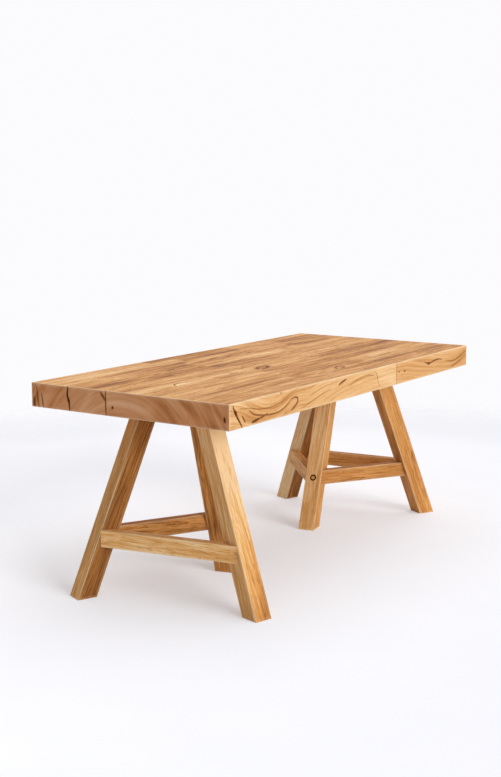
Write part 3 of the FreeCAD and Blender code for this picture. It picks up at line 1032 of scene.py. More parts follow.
@dataclass
class TableTop:
    """The slab: five rows of butted oak planks, dressed as glued staves.

    Attributes:
        finish: The planks' finish.
        inside: The finish of what the planks are joined with.
        body: The body that the slab rides on.
        rows: Number of rows.
        arris: Radius of the slab's outer edges.
        seam: Radius of the edges where planks meet.
        wear: Distance over which a rubbed, paler edge fades, partly a painted highlight on the arris.
        mark_grid: Distance between the grid lines at a mark, for each axis.
        plain_grid: Distance between the grid lines elsewhere, for each axis.
        mark_tip: Width of a mark's tips, as a share of its full width.
        tip_length: Share of a mark's length that is tip, at each end.
        shade_reach: How many half widths from its path a shade is worked out.
        socket_radius: Radius of a peg's socket in the underside.
        socket_room: Room between a peg's tip and the end of its socket.
        socket_rim: Share of the radius that a socket's wall leans over, to each side.
        socket_dark: Painted shade down in a socket.
        stave_cuts: Where a plank's staves begin, as shares of its width.
        stave_joint: Shares of a plank's length between which its staves are butted.
        stave_tone: Spread of the staves' tones.
        stave_shift: Longest shift of a stave's figure along the trunk.
        stave_pith: How far a stave's pith lies to either side, at most.
        stave_depth: How far it lies below the face, at least and at most.
        stave_slope: Its slope, at most.
        streak_swing: How far a streak swings to either side, in millimetres.
        streak_turn: The way along that swings it by a radian, in millimetres.
        streak_ease: Half the way along that it comes in or goes out over, in millimetres.
        streak_share: Share of the streaks' tones that shows.
        flow_steps: Number of places that the flow of the long sides is worked out at.
        flow_blur: Number of places that it is smoothed over, with the two empty ones at the ends.
        side_pith: Distance of the long sides' pith, so far that their lines run nearly straight.
        end_pith: Place of the ends' pith, across the table and above the floor.
        end_coarse: Scale of the ends' field. At a half the rings are drawn twice as wide, to show.
        seed: Seed of the staves' random draws.
    """

    finish: bpy.types.Material
    inside: bpy.types.Material
    body: str = "top"
    rows: int = 5
    arris: float = 2.4 * MM
    seam: float = 0.3 * MM
    wear: float = 3.2 * MM
    mark_grid: tuple[float, float, float] = (3.2 * MM, 2.0 * MM, 2.0 * MM)
    plain_grid: tuple[float, float, float] = (12 * MM, 6 * MM, 6 * MM)
    mark_tip: float = 0.35
    tip_length: float = 0.02
    shade_reach: float = 3.0
    socket_radius: float = 10.5 * MM
    socket_room: float = 1.0 * MM
    socket_rim: float = 0.05
    socket_dark: float = 0.7
    stave_cuts: tuple[float, ...] = (0.0, 0.31, 0.66)
    stave_joint: tuple[float, float] = (0.35, 0.65)
    stave_tone: float = 0.055
    stave_shift: float = 3.0
    stave_pith: float = 45 * MM
    stave_depth: tuple[float, float] = (35 * MM, 110 * MM)
    stave_slope: float = 0.05
    streak_swing: float = 5.0
    streak_turn: float = 83.0
    streak_ease: float = 90.0
    streak_share: float = 0.8
    flow_steps: int = 400
    flow_blur: int = 27
    side_pith: float = 0.4
    end_pith: tuple[float, float] = (17 * MM, 480 * MM)
    end_coarse: float = 0.5
    seed: int = 11

    def __post_init__(self) -> None:
        """Read the slab's box from the planks and turn the marks into paths in the frame."""
        boxes = [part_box(f"top_plank_{row}_{half}") for row in self.row_numbers() for half in Half]
        self.low = np.min([box[0] for box in boxes], axis=0)
        self.high = np.max([box[1] for box in boxes], axis=0)
        self.paths = [(mark, self.place(mark)) for mark in TOP_MARKS]
        self.shades = [(shade, self.place(shade)) for shade in TOP_SHADES]
        self.rng = np.random.default_rng(self.seed)
        self.sockets = np.concatenate([self.peg_tips(stand) for stand in Stand])

    def row_numbers(self) -> range:
        """The rows' numbers, from the near long side."""
        return range(1, self.rows + 1)

    def peg_tips(self, stand: Stand) -> np.ndarray:
        """Find the middles of a trestle's two peg tips: its tip points, parted at their widest gap.

        Args:
            stand: The trestle.

        Returns:
            The two middles, one row each.
        """
        points = node_points(f"{stand}_trestle_pegs")
        tips = points[points[:, 2] > points[:, 2].max() - SAME_LEVEL]
        tips = tips[np.argsort(tips[:, 1])]
        parted = np.argmax(np.diff(tips[:, 1])) + 1
        return np.array([middle(peg) for peg in (tips[:parted], tips[parted:])])

    def place(self, line: FacePath) -> np.ndarray:
        """Put the path of a mark or shade on its face.

        Args:
            line: The mark or shade.

        Returns:
            The path's smooth points in the table's frame.
        """
        along, down = (np.array(line.path, float) * MM).T
        level = np.zeros(along.shape)
        columns = {
            Face.END: (self.low[0] + level, self.high[1] - along, self.high[2] - down),
            Face.LONG: (self.low[0] + along, self.low[1] + level, self.high[2] - down),
            Face.TOP: (self.low[0] + along, self.high[1] - down, self.high[2] + level),
        }
        return smooth_path(np.stack(columns[line.face], axis=1))

    def bands(self, low: np.ndarray, high: np.ndarray, axis: int) -> list[Band]:
        """Find the stretches of one axis of a plank that need fine lines.

        Args:
            low: The plank's lowest corner.
            high: The plank's highest corner.
            axis: The axis.

        Returns:
            The stretches round the marks and sockets that touch the plank.
        """
        found = []
        for mark, path in self.paths:
            margin = mark.width * MM
            first, last = path.min(axis=0) - margin, path.max(axis=0) + margin
            if np.all(last > low) and np.all(first < high):
                found.append(Band(first[axis], last[axis], self.mark_grid[axis]))
        reach = BORE_MARGIN * self.socket_radius
        for tip in self.sockets:
            if axis < 2 and np.all(tip[:2] > low[:2]) and np.all(tip[:2] < high[:2]):
                found.append(Band(tip[axis] - reach, tip[axis] + reach))
        return found

    def sink_sockets(self, block: Block) -> np.ndarray:
        """Bore the peg sockets in the underside and paint shade in them: points inside a socket's
        circle go up to its end.

        Args:
            block: The plank's surface, changed in place.

        Returns:
            The painted shade of every point, down in the sockets.
        """
        dark = np.zeros(len(block.points))
        under = block.depth(Side.Z_LOW) < SAME_LEVEL
        rim = (1.0 - self.socket_rim, 1.0 + self.socket_rim)
        for tip in self.sockets:
            away = np.linalg.norm(block.points[:, :2] - tip[:2], axis=1) / self.socket_radius
            sink = np.where(under, 1.0 - smoothstep(*rim, away), 0.0)
            block.points[:, 2] += sink * (tip[2] + self.socket_room - self.low[2])
            # Painted shade down in the socket.
            dark = np.maximum(dark, self.socket_dark * sink)
        return dark

    def cut_marks(self, block: Block) -> np.ndarray:
        """Sink the marks into a plank: a groove whose depth falls off across its tapering width.

        The width is widest half way along and falls to its tips as the root of a sine.

        Args:
            block: The plank's surface, changed in place.

        Returns:
            The darkness of every point.
        """
        inward = {Face.END: (0, 1.0), Face.LONG: (1, 1.0), Face.TOP: (2, -1.0)}
        dark = np.zeros(len(block.points))
        start = block.points.copy()
        for mark, path in self.paths:
            width = mark.width * MM
            axis, sign = inward[mark.face]
            rows = near_path(start, path, width)
            if not len(rows):
                continue
            away, share = along_path(start[rows], path)
            arch = np.sin(np.pi * np.clip(share, self.tip_length, 1.0 - self.tip_length))
            taper = self.mark_tip + (1.0 - self.mark_tip) * np.sqrt(arch)
            profile = 1.0 - np.clip(away / (0.5 * width * taper), 0.0, 1.0)
            block.points[rows, axis] += sign * mark.depth * MM * profile
            dark[rows] = np.maximum(dark[rows], mark.dark * np.sqrt(profile))
        return dark

    def shade_tone(self, face: Face, corner: np.ndarray) -> np.ndarray:
        """Add up the soft bands of one face: exp(-(d / w)^2), d the distance from a band's path.

        Args:
            face: The face.
            corner: Corners of its faces.

        Returns:
            The tone at each corner.
        """
        points = corner.reshape(-1, 3)
        tone = np.zeros(len(points))
        for shade, path in self.shades:
            width = shade.half_width * MM
            rows = near_path(points, path, self.shade_reach * width)
            if shade.face is face and len(rows):
                away, _ = along_path(points[rows], path)
                tone[rows] += shade.tone * np.exp(-((away / width) ** 2))
        return tone.reshape(corner.shape[:-1])

    def streak_tone(self, x: np.ndarray, y: np.ndarray) -> np.ndarray:
        """Add up the streaks of the upper face: a bell across each, eased in and out at its ends.

        Args:
            x: Places along the table.
            y: Places across it.

        Returns:
            The tone at each place.
        """
        along, across = (x - self.low[0]) / MM, (self.high[1] - y) / MM
        tone = np.zeros(x.shape)
        for streak in TOP_STREAKS:
            swing = self.streak_swing * np.sin(along / self.streak_turn + streak.across)
            bell = np.exp(-(((across - streak.across - swing) / streak.half_width) ** 2))
            come, go = (
                smoothstep(place - self.streak_ease, place + self.streak_ease, along)
                for place in (streak.start, streak.stop)
            )
            tone += self.streak_share * streak.tone * bell * come * (1.0 - go)
        return tone

    def staves(self, block: Block) -> tuple[np.ndarray, np.ndarray]:
        """Give the upper and lower faces their glued staves.

        Each stave has a pith of its own below the face, at a slope that draws long arches, and a
        tone of its own.

        Args:
            block: The plank's surface.

        Returns:
            The grain field and the tone at each corner of each face.
        """
        corner = block.corners()
        heart = corner.mean(axis=1)
        share = (heart[:, 1] - block.low[1]) / (block.high[1] - block.low[1])
        column = np.searchsorted(self.stave_cuts, share, side="right") - 1
        cuts = self.rng.uniform(*self.stave_joint, len(self.stave_cuts))
        joint = block.low[0] + (block.high[0] - block.low[0]) * cuts
        number = 2 * column + (heart[:, 0] > joint[column])
        count = 2 * len(self.stave_cuts)
        tone = self.rng.normal(0.0, self.stave_tone, count)[number, None]
        shift = self.rng.uniform(0.0, self.stave_shift, count)[number, None]
        pith = self.rng.uniform(-self.stave_pith, self.stave_pith, count)[number, None]
        below = self.rng.uniform(*self.stave_depth, count)[number, None]
        slope = self.rng.uniform(-self.stave_slope, self.stave_slope, count)[number, None]
        centre = 0.5 * (block.low[1] + block.high[1])
        x, y, z = np.moveaxis(corner, -1, 0)
        parts = (x + shift, y - centre - pith, below + slope * x + (self.high[2] - z))
        return np.stack(parts, axis=-1), tone + self.streak_tone(x, y)

    def long_side(self, corner: np.ndarray) -> np.ndarray:
        """Grain of the long sides: level lines that climb and sink with the flow along the table.

        Args:
            corner: Corners of the faces.

        Returns:
            The grain field at each corner.
        """
        x, z = corner[..., 0], corner[..., 2]
        way, climb = np.array(LONG_SIDE_FLOW, float).T
        dense = np.linspace(way[0], way[-1], self.flow_steps)
        blur = np.hanning(self.flow_blur)[1:-1]
        flow = np.pad(np.interp(dense, way, climb), len(blur) // 2, mode="edge")
        soft = np.convolve(flow, blur, "valid") / blur.sum()
        shift = np.interp((x - self.low[0]) / MM, dense, soft) * MM
        return np.stack([x, self.side_pith + self.high[2] - z + shift, np.zeros(x.shape)], axis=-1)

    def end_rings(self, corner: np.ndarray) -> np.ndarray:
        """Grain of the ends: the angle round the pith, as a length, and the distance from it.

        Args:
            corner: Corners of the faces.

        Returns:
            The grain field at each corner.
        """
        away = corner[..., 1:] - np.array(self.end_pith)
        radius = np.hypot(away[..., 0], away[..., 1])
        turn = np.arctan2(away[..., 0], away[..., 1])
        field = np.stack([turn * radius.mean(), radius, np.zeros(radius.shape)], axis=-1)
        return self.end_coarse * field

    def long_look(self, corner: np.ndarray) -> np.ndarray:
        """Look of the long sides: one for all, plus that of each stretch by its share there.

        Args:
            corner: Corners of the faces.

        Returns:
            The tone and the contrasts of bands and lines at each corner.
        """
        along = (corner[..., 0] - self.low[0]) / MM
        look = np.zeros((*along.shape, len(LONG_LOOK))) + LONG_LOOK
        for stretch in LONG_STRETCHES:
            share = smoothstep(*stretch.start, along) * (1.0 - smoothstep(*stretch.stop, along))
            look += share[..., None] * np.array(stretch.look)
        return look

    def figure(self, block: Block) -> dict[Wood, np.ndarray]:
        """Work out a plank's grain and look: staves, flowing long sides and ringed ends.

        Args:
            block: The plank's surface, before its marks are cut.

        Returns:
            The attributes with a value for each corner of each face.
        """
        corner = block.corners()
        grain, tone = self.staves(block)
        ends, sides, upper = block.on(*X_SIDES), block.on(*Y_SIDES), block.on(Side.Z_HIGH)
        grain[sides] = self.long_side(corner[sides])
        grain[ends] = self.end_rings(corner[ends])
        look = np.stack([tone, np.zeros(tone.shape), np.zeros(tone.shape)], axis=-1)
        look[sides] = self.long_look(corner[sides])
        look[ends] = END_LOOK
        look[upper] += TOP_LOOK
        tone, bands, lines = np.moveaxis(look, -1, 0)
        for face, here in ((Face.LONG, sides), (Face.END, ends), (Face.TOP, upper)):
            tone[here] += self.shade_tone(face, corner[here])
        return {
            Wood.GRAIN: grain,
            Wood.TONE: tone,
            Wood.BANDS: bands,
            Wood.LINES: lines,
            Wood.END: np.repeat(ends, 4),
        }

    def plank(self, row: int, half: Half) -> bpy.types.Object:
        """Build one plank.

        Args:
            row: Its row, from the near long side.
            half: Its place in the row.

        Returns:
            The plank.
        """
        node = f"top_plank_{row}_{half}"
        low, high = (np.array(corner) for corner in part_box(node))
        lines = [
            grid_lines(
                low[axis], high[axis], self.arris, self.bands(low, high, axis), self.plain_grid[axis]
            )
            for axis in range(3)
        ]
        cuts = low[1] + np.array(self.stave_cuts[1:]) * (high[1] - low[1])
        lines[1] = np.sort(np.append(lines[1], cuts))
        block = Block.from_lines(lines)
        outer = {
            Side.X_LOW: half is Half.NEAR,
            Side.X_HIGH: half is Half.FAR,
            Side.Y_LOW: row == 1,
            Side.Y_HIGH: row == self.rows,
        }
        edges = [*product(X_SIDES + Y_SIDES, Z_SIDES), *product(X_SIDES, Y_SIDES)]
        worn = [pair for pair in edges if all(outer.get(side, True) for side in pair)]
        wear = block.edge_wear(worn, self.wear)
        corner_data = self.figure(block)
        # The marks' own darkness, and painted shade down in the sockets.
        dark = np.maximum(self.cut_marks(block), self.sink_sockets(block))
        for pair in edges:
            block.ease(*pair, self.arris if pair in worn else self.seam)
        point_data = {Wood.MARK: dark, Wood.EDGE: wear}
        piece = make_piece(f"oak_plank_{row}_{half}", block, self.finish, corner_data, point_data)
        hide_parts(node)
        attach(piece, self.body)
        return piece

    def build(self) -> Iterator[bpy.types.Object]:
        """Build the planks and dress the splines and dowels between them.

        Returns:
            The pieces, one by one.
        """
        for row, half in product(self.row_numbers(), Half):
            yield self.plank(row, half)
        for number in range(1, self.rows):
            yield dress(f"top_spline_{number}", self.inside)
        yield dress("top_dowels", self.inside)


@dataclass
class Leg:
    """A leaning square leg, read from its construction node.

    Attributes:
        foot: Middle of the foot on the floor.
        out: Direction square to the outer face, outwards and a little up.
        across: Level direction square to the cheeks.
        axis: Direction up the leg.
        size: Side of the square.
        height: Level of the shoulder.
    """

    foot: np.ndarray
    out: np.ndarray
    across: np.ndarray
    axis: np.ndarray
    size: float
    height: float

    @classmethod
    def read(cls, node: str, shoulder: float) -> "Leg":
        """Find a leg's place: its axis joins the middles of the foot and the shoulder.

        Args:
            node: The construction node.
            shoulder: Level of the shoulder.

        Returns:
            The leg.
        """
        points = node_points(node)
        at_foot, at_shoulder = (
            points[np.abs(points[:, 2] - level) < SAME_LEVEL] for level in (0.0, shoulder)
        )
        foot, head = middle(at_foot), middle(at_shoulder)
        axis = (head - foot) / np.linalg.norm(head - foot)
        level = -axis * (1.0 - UP)
        level /= np.linalg.norm(level)
        across = np.cross(UP, level)
        size = float(np.ptp(at_foot @ across))
        return cls(foot, np.cross(across, axis), across, axis, size, shoulder)

    def place(self, points: np.ndarray) -> np.ndarray:
        """Shear block coordinates onto the leg: foot + a out + b across + s axis, s reaching height c.

        Args:
            points: Rows of a (outward), b (across) and c (height above the floor).

        Returns:
            The points in the table's frame.
        """
        a, b, c = points.T
        rise = (c - a * self.out[2]) / self.axis[2]
        parts = (a[:, None] * self.out, b[:, None] * self.across, rise[:, None] * self.axis)
        return self.foot + sum(parts)

    def local(self, points: np.ndarray) -> np.ndarray:
        """Places in the leg's own frame: outward, across and along its axis."""
        return (points - self.foot) @ np.stack([self.out, self.across, self.axis], axis=1)


@dataclass
class Stretcher:
    """A level bar between two legs, read from its construction node.

    Attributes:
        node: The node.
        first: The leg at its start.
        second: The leg at its end.
        bite: How far its ends reach into the legs, so that no gap shows.
        upright: How far a face may lean and still be taken as upright, as a share of its size.
    """

    node: str
    first: Leg
    second: Leg
    bite: float = 0.6 * MM
    upright: float = 1e-3

    def __post_init__(self) -> None:
        """Find the bar's frame: its broadest upright triangle gives the direction of its sides."""
        points = node_points(self.node)
        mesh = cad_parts[self.node].data
        mesh.calc_loop_triangles()
        index = np.empty(len(mesh.loop_triangles) * 3, np.int32)
        mesh.loop_triangles.foreach_get("vertices", index)
        corner = points[index.reshape(-1, 3)]
        area = np.cross(corner[:, 1] - corner[:, 0], corner[:, 2] - corner[:, 0])
        size = np.linalg.norm(area, axis=1)
        standing = np.abs(area[:, 2]) < self.upright * size
        normal = area[np.argmax(np.where(standing, size, 0.0))]
        heading = np.cross(normal / np.linalg.norm(normal), UP)
        if heading @ (self.second.foot - self.first.foot) < 0:
            heading = -heading
        self.heading, self.inward = heading, np.cross(UP, heading)
        side = points @ self.inward
        self.thickness = float(np.ptp(side))
        self.low, self.high = float(points[:, 2].min()), float(points[:, 2].max())
        start = self.first.foot @ heading
        self.origin = heading * start + self.inward * side.min() + self.low * UP
        self.length = float(self.second.foot @ heading - start)

    def crossing(self, leg: Leg, side: float, base: np.ndarray) -> tuple[np.ndarray, np.ndarray]:
        """Where lines along the bar cross a leg's cheek, if they near it, and its inner face.

        Args:
            leg: The leg.
            side: 1 for the cheek at the leg's left, -1 for the one at its right.
            base: Points that the lines start from.

        Returns:
            The distances along the bar to the cheek and to the inner face.
        """
        half = 0.5 * leg.size
        spot = base - leg.foot
        back = (-half - spot @ leg.out) / (self.heading @ leg.out)
        nearing = self.heading @ leg.across
        cheek = (side * half - spot @ leg.across) / nearing if nearing > 0 else back
        return cheek, back

    def place(self, points: np.ndarray) -> np.ndarray:
        """Run block coordinates along the bar, its ends scribed to both legs.

        Args:
            points: Rows of t (share of the length), v (inward) and w (up).

        Returns:
            The points in the table's frame.
        """
        t, v, w = points.T
        base = self.origin + v[:, None] * self.inward + w[:, None] * UP
        start = np.minimum(*self.crossing(self.first, 1.0, base)) - self.bite
        stop = np.maximum(*self.crossing(self.second, -1.0, base)) + self.bite
        return base + (start + t * (stop - start))[:, None] * self.heading


@dataclass(frozen=True)
class BoardTone:
    """How a board of a trestle differs from the rest: its own tone, and painted light and shade.

    Attributes:
        tone: Lighter above zero, darker below.
        climb: How much lighter its upper end is than its lower one, painted light that changes with
            height.
        sides: Tones and climbs of the sides that differ from it, painted light and shade by how each
            side is lit.
    """

    tone: float
    climb: float = 0.0
    sides: tuple[tuple[Side, float, float], ...] = ()


# Board tones are partly the wood's own; the sides' tones and the climbs are painted light and shade,
# darker on faces in shade under the top and lighter up faces that the light falls on.
BOARD_TONES_AND_SHADE: dict[str, BoardTone] = {
    "near_end_leg": BoardTone(0.14, 0.0, ((Side.Y_HIGH, -0.25, 0.06),)),
    "near_side_leg": BoardTone(0.26, 0.16, ((Side.X_HIGH, 0.28, 0.8),)),
    "near_inner_leg": BoardTone(-0.02),
    "near_end_side_stretcher": BoardTone(0.28),
    "near_side_inner_stretcher": BoardTone(-0.08),
    "near_inner_end_stretcher": BoardTone(-0.06),
    "far_end_leg": BoardTone(0.02, 0.1, ((Side.X_LOW, 0.04, 0.0),)),
    "far_side_leg": BoardTone(0.06, 0.0, ((Side.Y_HIGH, 0.46, 0.0), (Side.X_LOW, -0.4, 0.0))),
    "far_inner_leg": BoardTone(0.1, 0.1, ((Side.X_HIGH, 0.31, 0.06),)),
    "far_end_side_stretcher": BoardTone(0.06),
    "far_side_inner_stretcher": BoardTone(0.06),
    "far_inner_end_stretcher": BoardTone(-0.09),
}


@dataclass
class Trestle:
    """A three-legged stand: square splayed legs, scribed stretchers, head board and fittings.

    Attributes:
        name: Which of the two it is.
        finish: Finish of the legs, the stretchers and the corner key.
        hidden_oak: Finish of the head board.
        beech: Finish of the pegs and wedges.
        seed: Seed of the boards' random draws.
        body: The body that the trestle rides on.
        arris: Radius of the boards' edges.
        wear: Distance over which a rubbed, paler edge fades, partly a painted highlight on the arris.
        pith_reach: How far a board's pith lies outside it, in widths of the board.
        pith_slope: Steepest slope of the pith against the board.
        grain_shift: Longest shift of a board's figure along the trunk.
        key_radius: Radius of the corner key.
        key_grid: Number of grid lines across the key's face, and down its side.
        key_face: Radius of the key's raised face, inside its ring groove.
        key_groove: Depth of the groove.
        key_bevel: How far the groove's wall lies inside and outside the face's radius.
        key_grime: Width of the painted shadow at the rim of the face, by the ring groove.
        key_wear: Distance over which the face's rubbed, paler rim fades, partly a painted highlight.
        key_rub: Strength of that rubbing.
        key_tone: How much paler the key is than the boards.
        pocket: Radius of the key's pocket in the leg.
        pocket_depth: Depth of the pocket.
        pocket_rim: Share of the radius that its wall leans over, to each side.
        pocket_dark: Painted shade down in the pocket.
    """

    name: Stand
    finish: bpy.types.Material
    hidden_oak: bpy.types.Material
    beech: bpy.types.Material
    seed: int
    body: str = "trestles"
    arris: float = 1.8 * MM
    wear: float = 1.7 * MM
    pith_reach: tuple[float, float] = (0.7, 1.6)
    pith_slope: float = 0.05
    grain_shift: float = 5.0
    key_radius: float = 12.6 * MM
    key_grid: tuple[int, int] = (49, 5)
    key_face: float = 9.6 * MM
    key_groove: float = 1.6 * MM
    key_bevel: tuple[float, float] = (0.3 * MM, 0.5 * MM)
    key_grime: float = 2.6 * MM
    key_wear: float = 1.5 * MM
    key_rub: float = 0.3
    key_tone: float = 0.1
    pocket: float = 13.2 * MM
    pocket_depth: float = 4.0 * MM
    pocket_rim: float = 0.04
    pocket_dark: float = 0.9

    def __post_init__(self) -> None:
        """Read the legs."""
        self.rng = np.random.default_rng(self.seed)
        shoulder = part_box(self.node("head_board"))[0].z
        self.legs = {corner: Leg.read(self.node(f"{corner}_leg"), shoulder) for corner in Corner}

    def node(self, part: str) -> str:
        """The construction node of one of the trestle's parts."""
        return f"{self.name}_trestle_{part}"

    def board_field(self, local: np.ndarray, size: float) -> np.ndarray:
        """Grain of a straight board: rings round a pith that lies outside it and runs off true.

        Args:
            local: Corners in the board's frame: across, through and along.
            size: The board's width.

        Returns:
            The grain field at each corner.
        """
        turn = self.rng.uniform(0.0, 2.0 * math.pi)
        reach = size * self.rng.uniform(*self.pith_reach)
        slope = self.rng.uniform(-self.pith_slope, self.pith_slope, 2)
        shift = self.rng.uniform(0.0, self.grain_shift)
        across, through, along = np.moveaxis(local, -1, 0)
        parts = (
            along + shift,
            across + reach * math.cos(turn) + slope[0] * along,
            through + reach * math.sin(turn) + slope[1] * along,
        )
        return np.stack(parts, axis=-1)

    def finish_board(
        self, part: str, block: Block, local: np.ndarray, size: float, ends: tuple[Side, Side],
        dark: np.ndarray, wear: np.ndarray,
    ) -> bpy.types.Object:
        """Give a board its grain and tone, with painted light and shade, and stand it in for its node.

        Args:
            part: The trestle's part that the board is.
            block: The surface, in the table's frame.
            local: Corners in the board's frame: across, through and along.
            size: The board's width.
            ends: The sides that show end grain.
            dark: Darkness of every point.
            wear: Wear of every point.

        Returns:
            The piece.
        """
        look = BOARD_TONES_AND_SHADE[f"{self.name}_{part}"]
        along = local[..., 2]
        way = (along - along.min()) / np.ptp(along) - 0.5
        # The climb and the sides' tones paint light and shade onto the board.
        tone = look.tone + look.climb * way
        for side, value, climb in look.sides:
            on_side = block.on(side)
            tone[on_side] = value + climb * way[on_side]
        corner_data = {
            Wood.GRAIN: self.board_field(local, size),
            Wood.TONE: tone,
            Wood.END: np.repeat(block.on(*ends), 4),
        }
        point_data = {Wood.MARK: dark, Wood.EDGE: wear}
        piece = make_piece(f"{self.name}_oak_{part}", block, self.finish, corner_data, point_data)
        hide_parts(self.node(part))
        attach(piece, self.body)
        return piece

    def key_centre(self) -> np.ndarray:
        """Find the middle of the corner key's face, on the outer face of the inner leg.

        Returns:
            The middle.
        """
        points = node_points(self.node("corner_key"))
        front = points @ self.legs[Corner.INNER].out
        return middle(points[front > front.max() - SAME_LEVEL])

    def build_leg(self, corner: Corner) -> bpy.types.Object:
        """Build one leg, with a pocket for the corner key in the inner one.

        Points of the outer face inside the pocket's circle go in to its end, and are painted with
        shade.

        Args:
            corner: The leg's corner.

        Returns:
            The leg.
        """
        leg = self.legs[corner]
        half = 0.5 * leg.size
        bands: list[list[Band]] = [[], []]
        key = self.key_centre() if corner is Corner.INNER else None
        if key is not None:
            centre = leg.local(key[None])[0]
            margin = BORE_MARGIN * self.pocket
            bands = [[Band(place - margin, place + margin)] for place in (centre[1], key[2])]
        block = Block.from_lines(
            [
                grid_lines(-half, half, self.arris),
                grid_lines(-half, half, self.arris, bands[0]),
                grid_lines(0.0, leg.height, self.arris, bands[1]),
            ]
        )
        edges = [*product(X_SIDES, Y_SIDES), *product(X_SIDES + Y_SIDES, (Side.Z_LOW,))]
        wear = block.edge_wear(edges, self.wear)
        dark = np.zeros(len(block.points))
        for pair in edges:
            block.ease(*pair, self.arris)
        on_face = block.depth(Side.X_HIGH) < SAME_LEVEL
        block.points = leg.place(block.points)
        local = leg.local(block.corners().reshape(-1, 3)).reshape(-1, 4, 3)
        if key is not None:
            away = np.linalg.norm(leg.local(block.points)[:, 1:] - centre[1:], axis=1) / self.pocket
            rim = (1.0 - self.pocket_rim, 1.0 + self.pocket_rim)
            sink = np.where(on_face, 1.0 - smoothstep(*rim, away), 0.0)
            block.points -= sink[:, None] * self.pocket_depth * leg.out
            # Painted shade down in the pocket.
            dark = self.pocket_dark * sink
        return self.finish_board(f"{corner}_leg", block, local, leg.size, Z_SIDES, dark, wear)

    def build_stretcher(self, first: Corner, second: Corner) -> bpy.types.Object:
        """Build the stretcher between two legs.

        Args:
            first: The corner at its start.
            second: The corner at its end.

        Returns:
            The stretcher.
        """
        part = f"{first}_{second}_stretcher"
        bar = Stretcher(self.node(part), self.legs[first], self.legs[second])
        height = bar.high - bar.low
        shares = grid_lines(0.0, bar.length, self.arris) / bar.length
        shares[-1] = 1.0
        sizes = (bar.thickness, height)
        block = Block.from_lines([shares, *(grid_lines(0.0, size, self.arris) for size in sizes)])
        edges = list(product(Y_SIDES, Z_SIDES))
        wear = block.edge_wear(edges, self.wear)
        for pair in edges:
            block.ease(*pair, self.arris)
        flat = block.corners()
        local = np.stack([flat[..., 1], flat[..., 2], flat[..., 0] * bar.length], axis=-1)
        block.points = bar.place(block.points)
        dark = np.zeros(len(block.points))
        return self.finish_board(part, block, local, height, X_SIDES, dark, wear)

    def build_key(self) -> bpy.types.Object:
        """Build the corner key: a disc from a square grid, its face inside a ring groove, its rim
        painted dark as the groove's shadow.

        Returns:
            The key.
        """
        leg = self.legs[Corner.INNER]
        faces, sides = self.key_grid
        ring = np.linspace(-1.0, 1.0, faces)
        block = Block.from_lines([ring, ring, np.linspace(-self.pocket_depth, 0.0, sides)])
        u, v, level = block.points.T
        across, along = disc(u, v, self.key_radius)
        radius = np.hypot(across, along)
        inner, outer = self.key_bevel
        groove = smoothstep(self.key_face - inner, self.key_face + outer, radius)
        face = level > -SAME_LEVEL
        level = level - np.where(face, self.key_groove * groove, 0.0)
        grain = np.stack([along, level, across], axis=1)[block.quads]
        block.points = (
            self.key_centre()
            + across[:, None] * leg.across
            + level[:, None] * leg.out
            + along[:, None] * leg.axis
        )
        wear = np.where(face, np.exp(-np.abs(radius - self.key_face) / self.key_wear), 0.0)
        wear *= radius < self.key_face
        # A painted shadow darkens the rim of the key's face, where the ring groove lies.
        rim = smoothstep(self.key_face - self.key_grime, self.key_face, radius)
        corner_data = {
            Wood.GRAIN: self.board_field(grain, leg.size),
            Wood.TONE: np.full(block.quads.shape, self.key_tone),
        }
        point_data = {Wood.MARK: rim, Wood.EDGE: self.key_rub * wear}
        piece = make_piece(
            f"{self.name}_oak_corner_key", block, self.finish, corner_data, point_data
        )
        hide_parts(self.node("corner_key"))
        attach(piece, self.body)
        return piece

    def build(self) -> Iterator[bpy.types.Object]:
        """Build the boards and the key, and dress the parts that show their own shape.

        Returns:
            The pieces, one by one.
        """
        corners = list(Corner)
        for corner in corners:
            yield self.build_leg(corner)
        for first, second in zip(corners, corners[1:] + corners[:1]):
            yield self.build_stretcher(first, second)
        yield self.build_key()
        yield dress(self.node("head_board"), self.hidden_oak)
        for part in ("tenon_wedges", "pegs"):
            yield dress(self.node(part), self.beech)


def shown_rays(add: AddNode) -> Socket:
    """Tell the rays that show the surroundings from those that light the table.

    Args:
        add: Adds a node to the floor's finish or the world.

    Returns:
        A socket that is 1 for what the camera sees, straight, in gloss or through glass.
    """
    straight, gloss, glass = (
        add("LightPath", out=f"Is {kind} Ray") for kind in ("Camera", "Glossy", "Transmission")
    )
    either = add("Math", {0: straight, 1: gloss}, operation="MAXIMUM")
    return add("Math", {0: either, 1: glass}, operation="MAXIMUM")


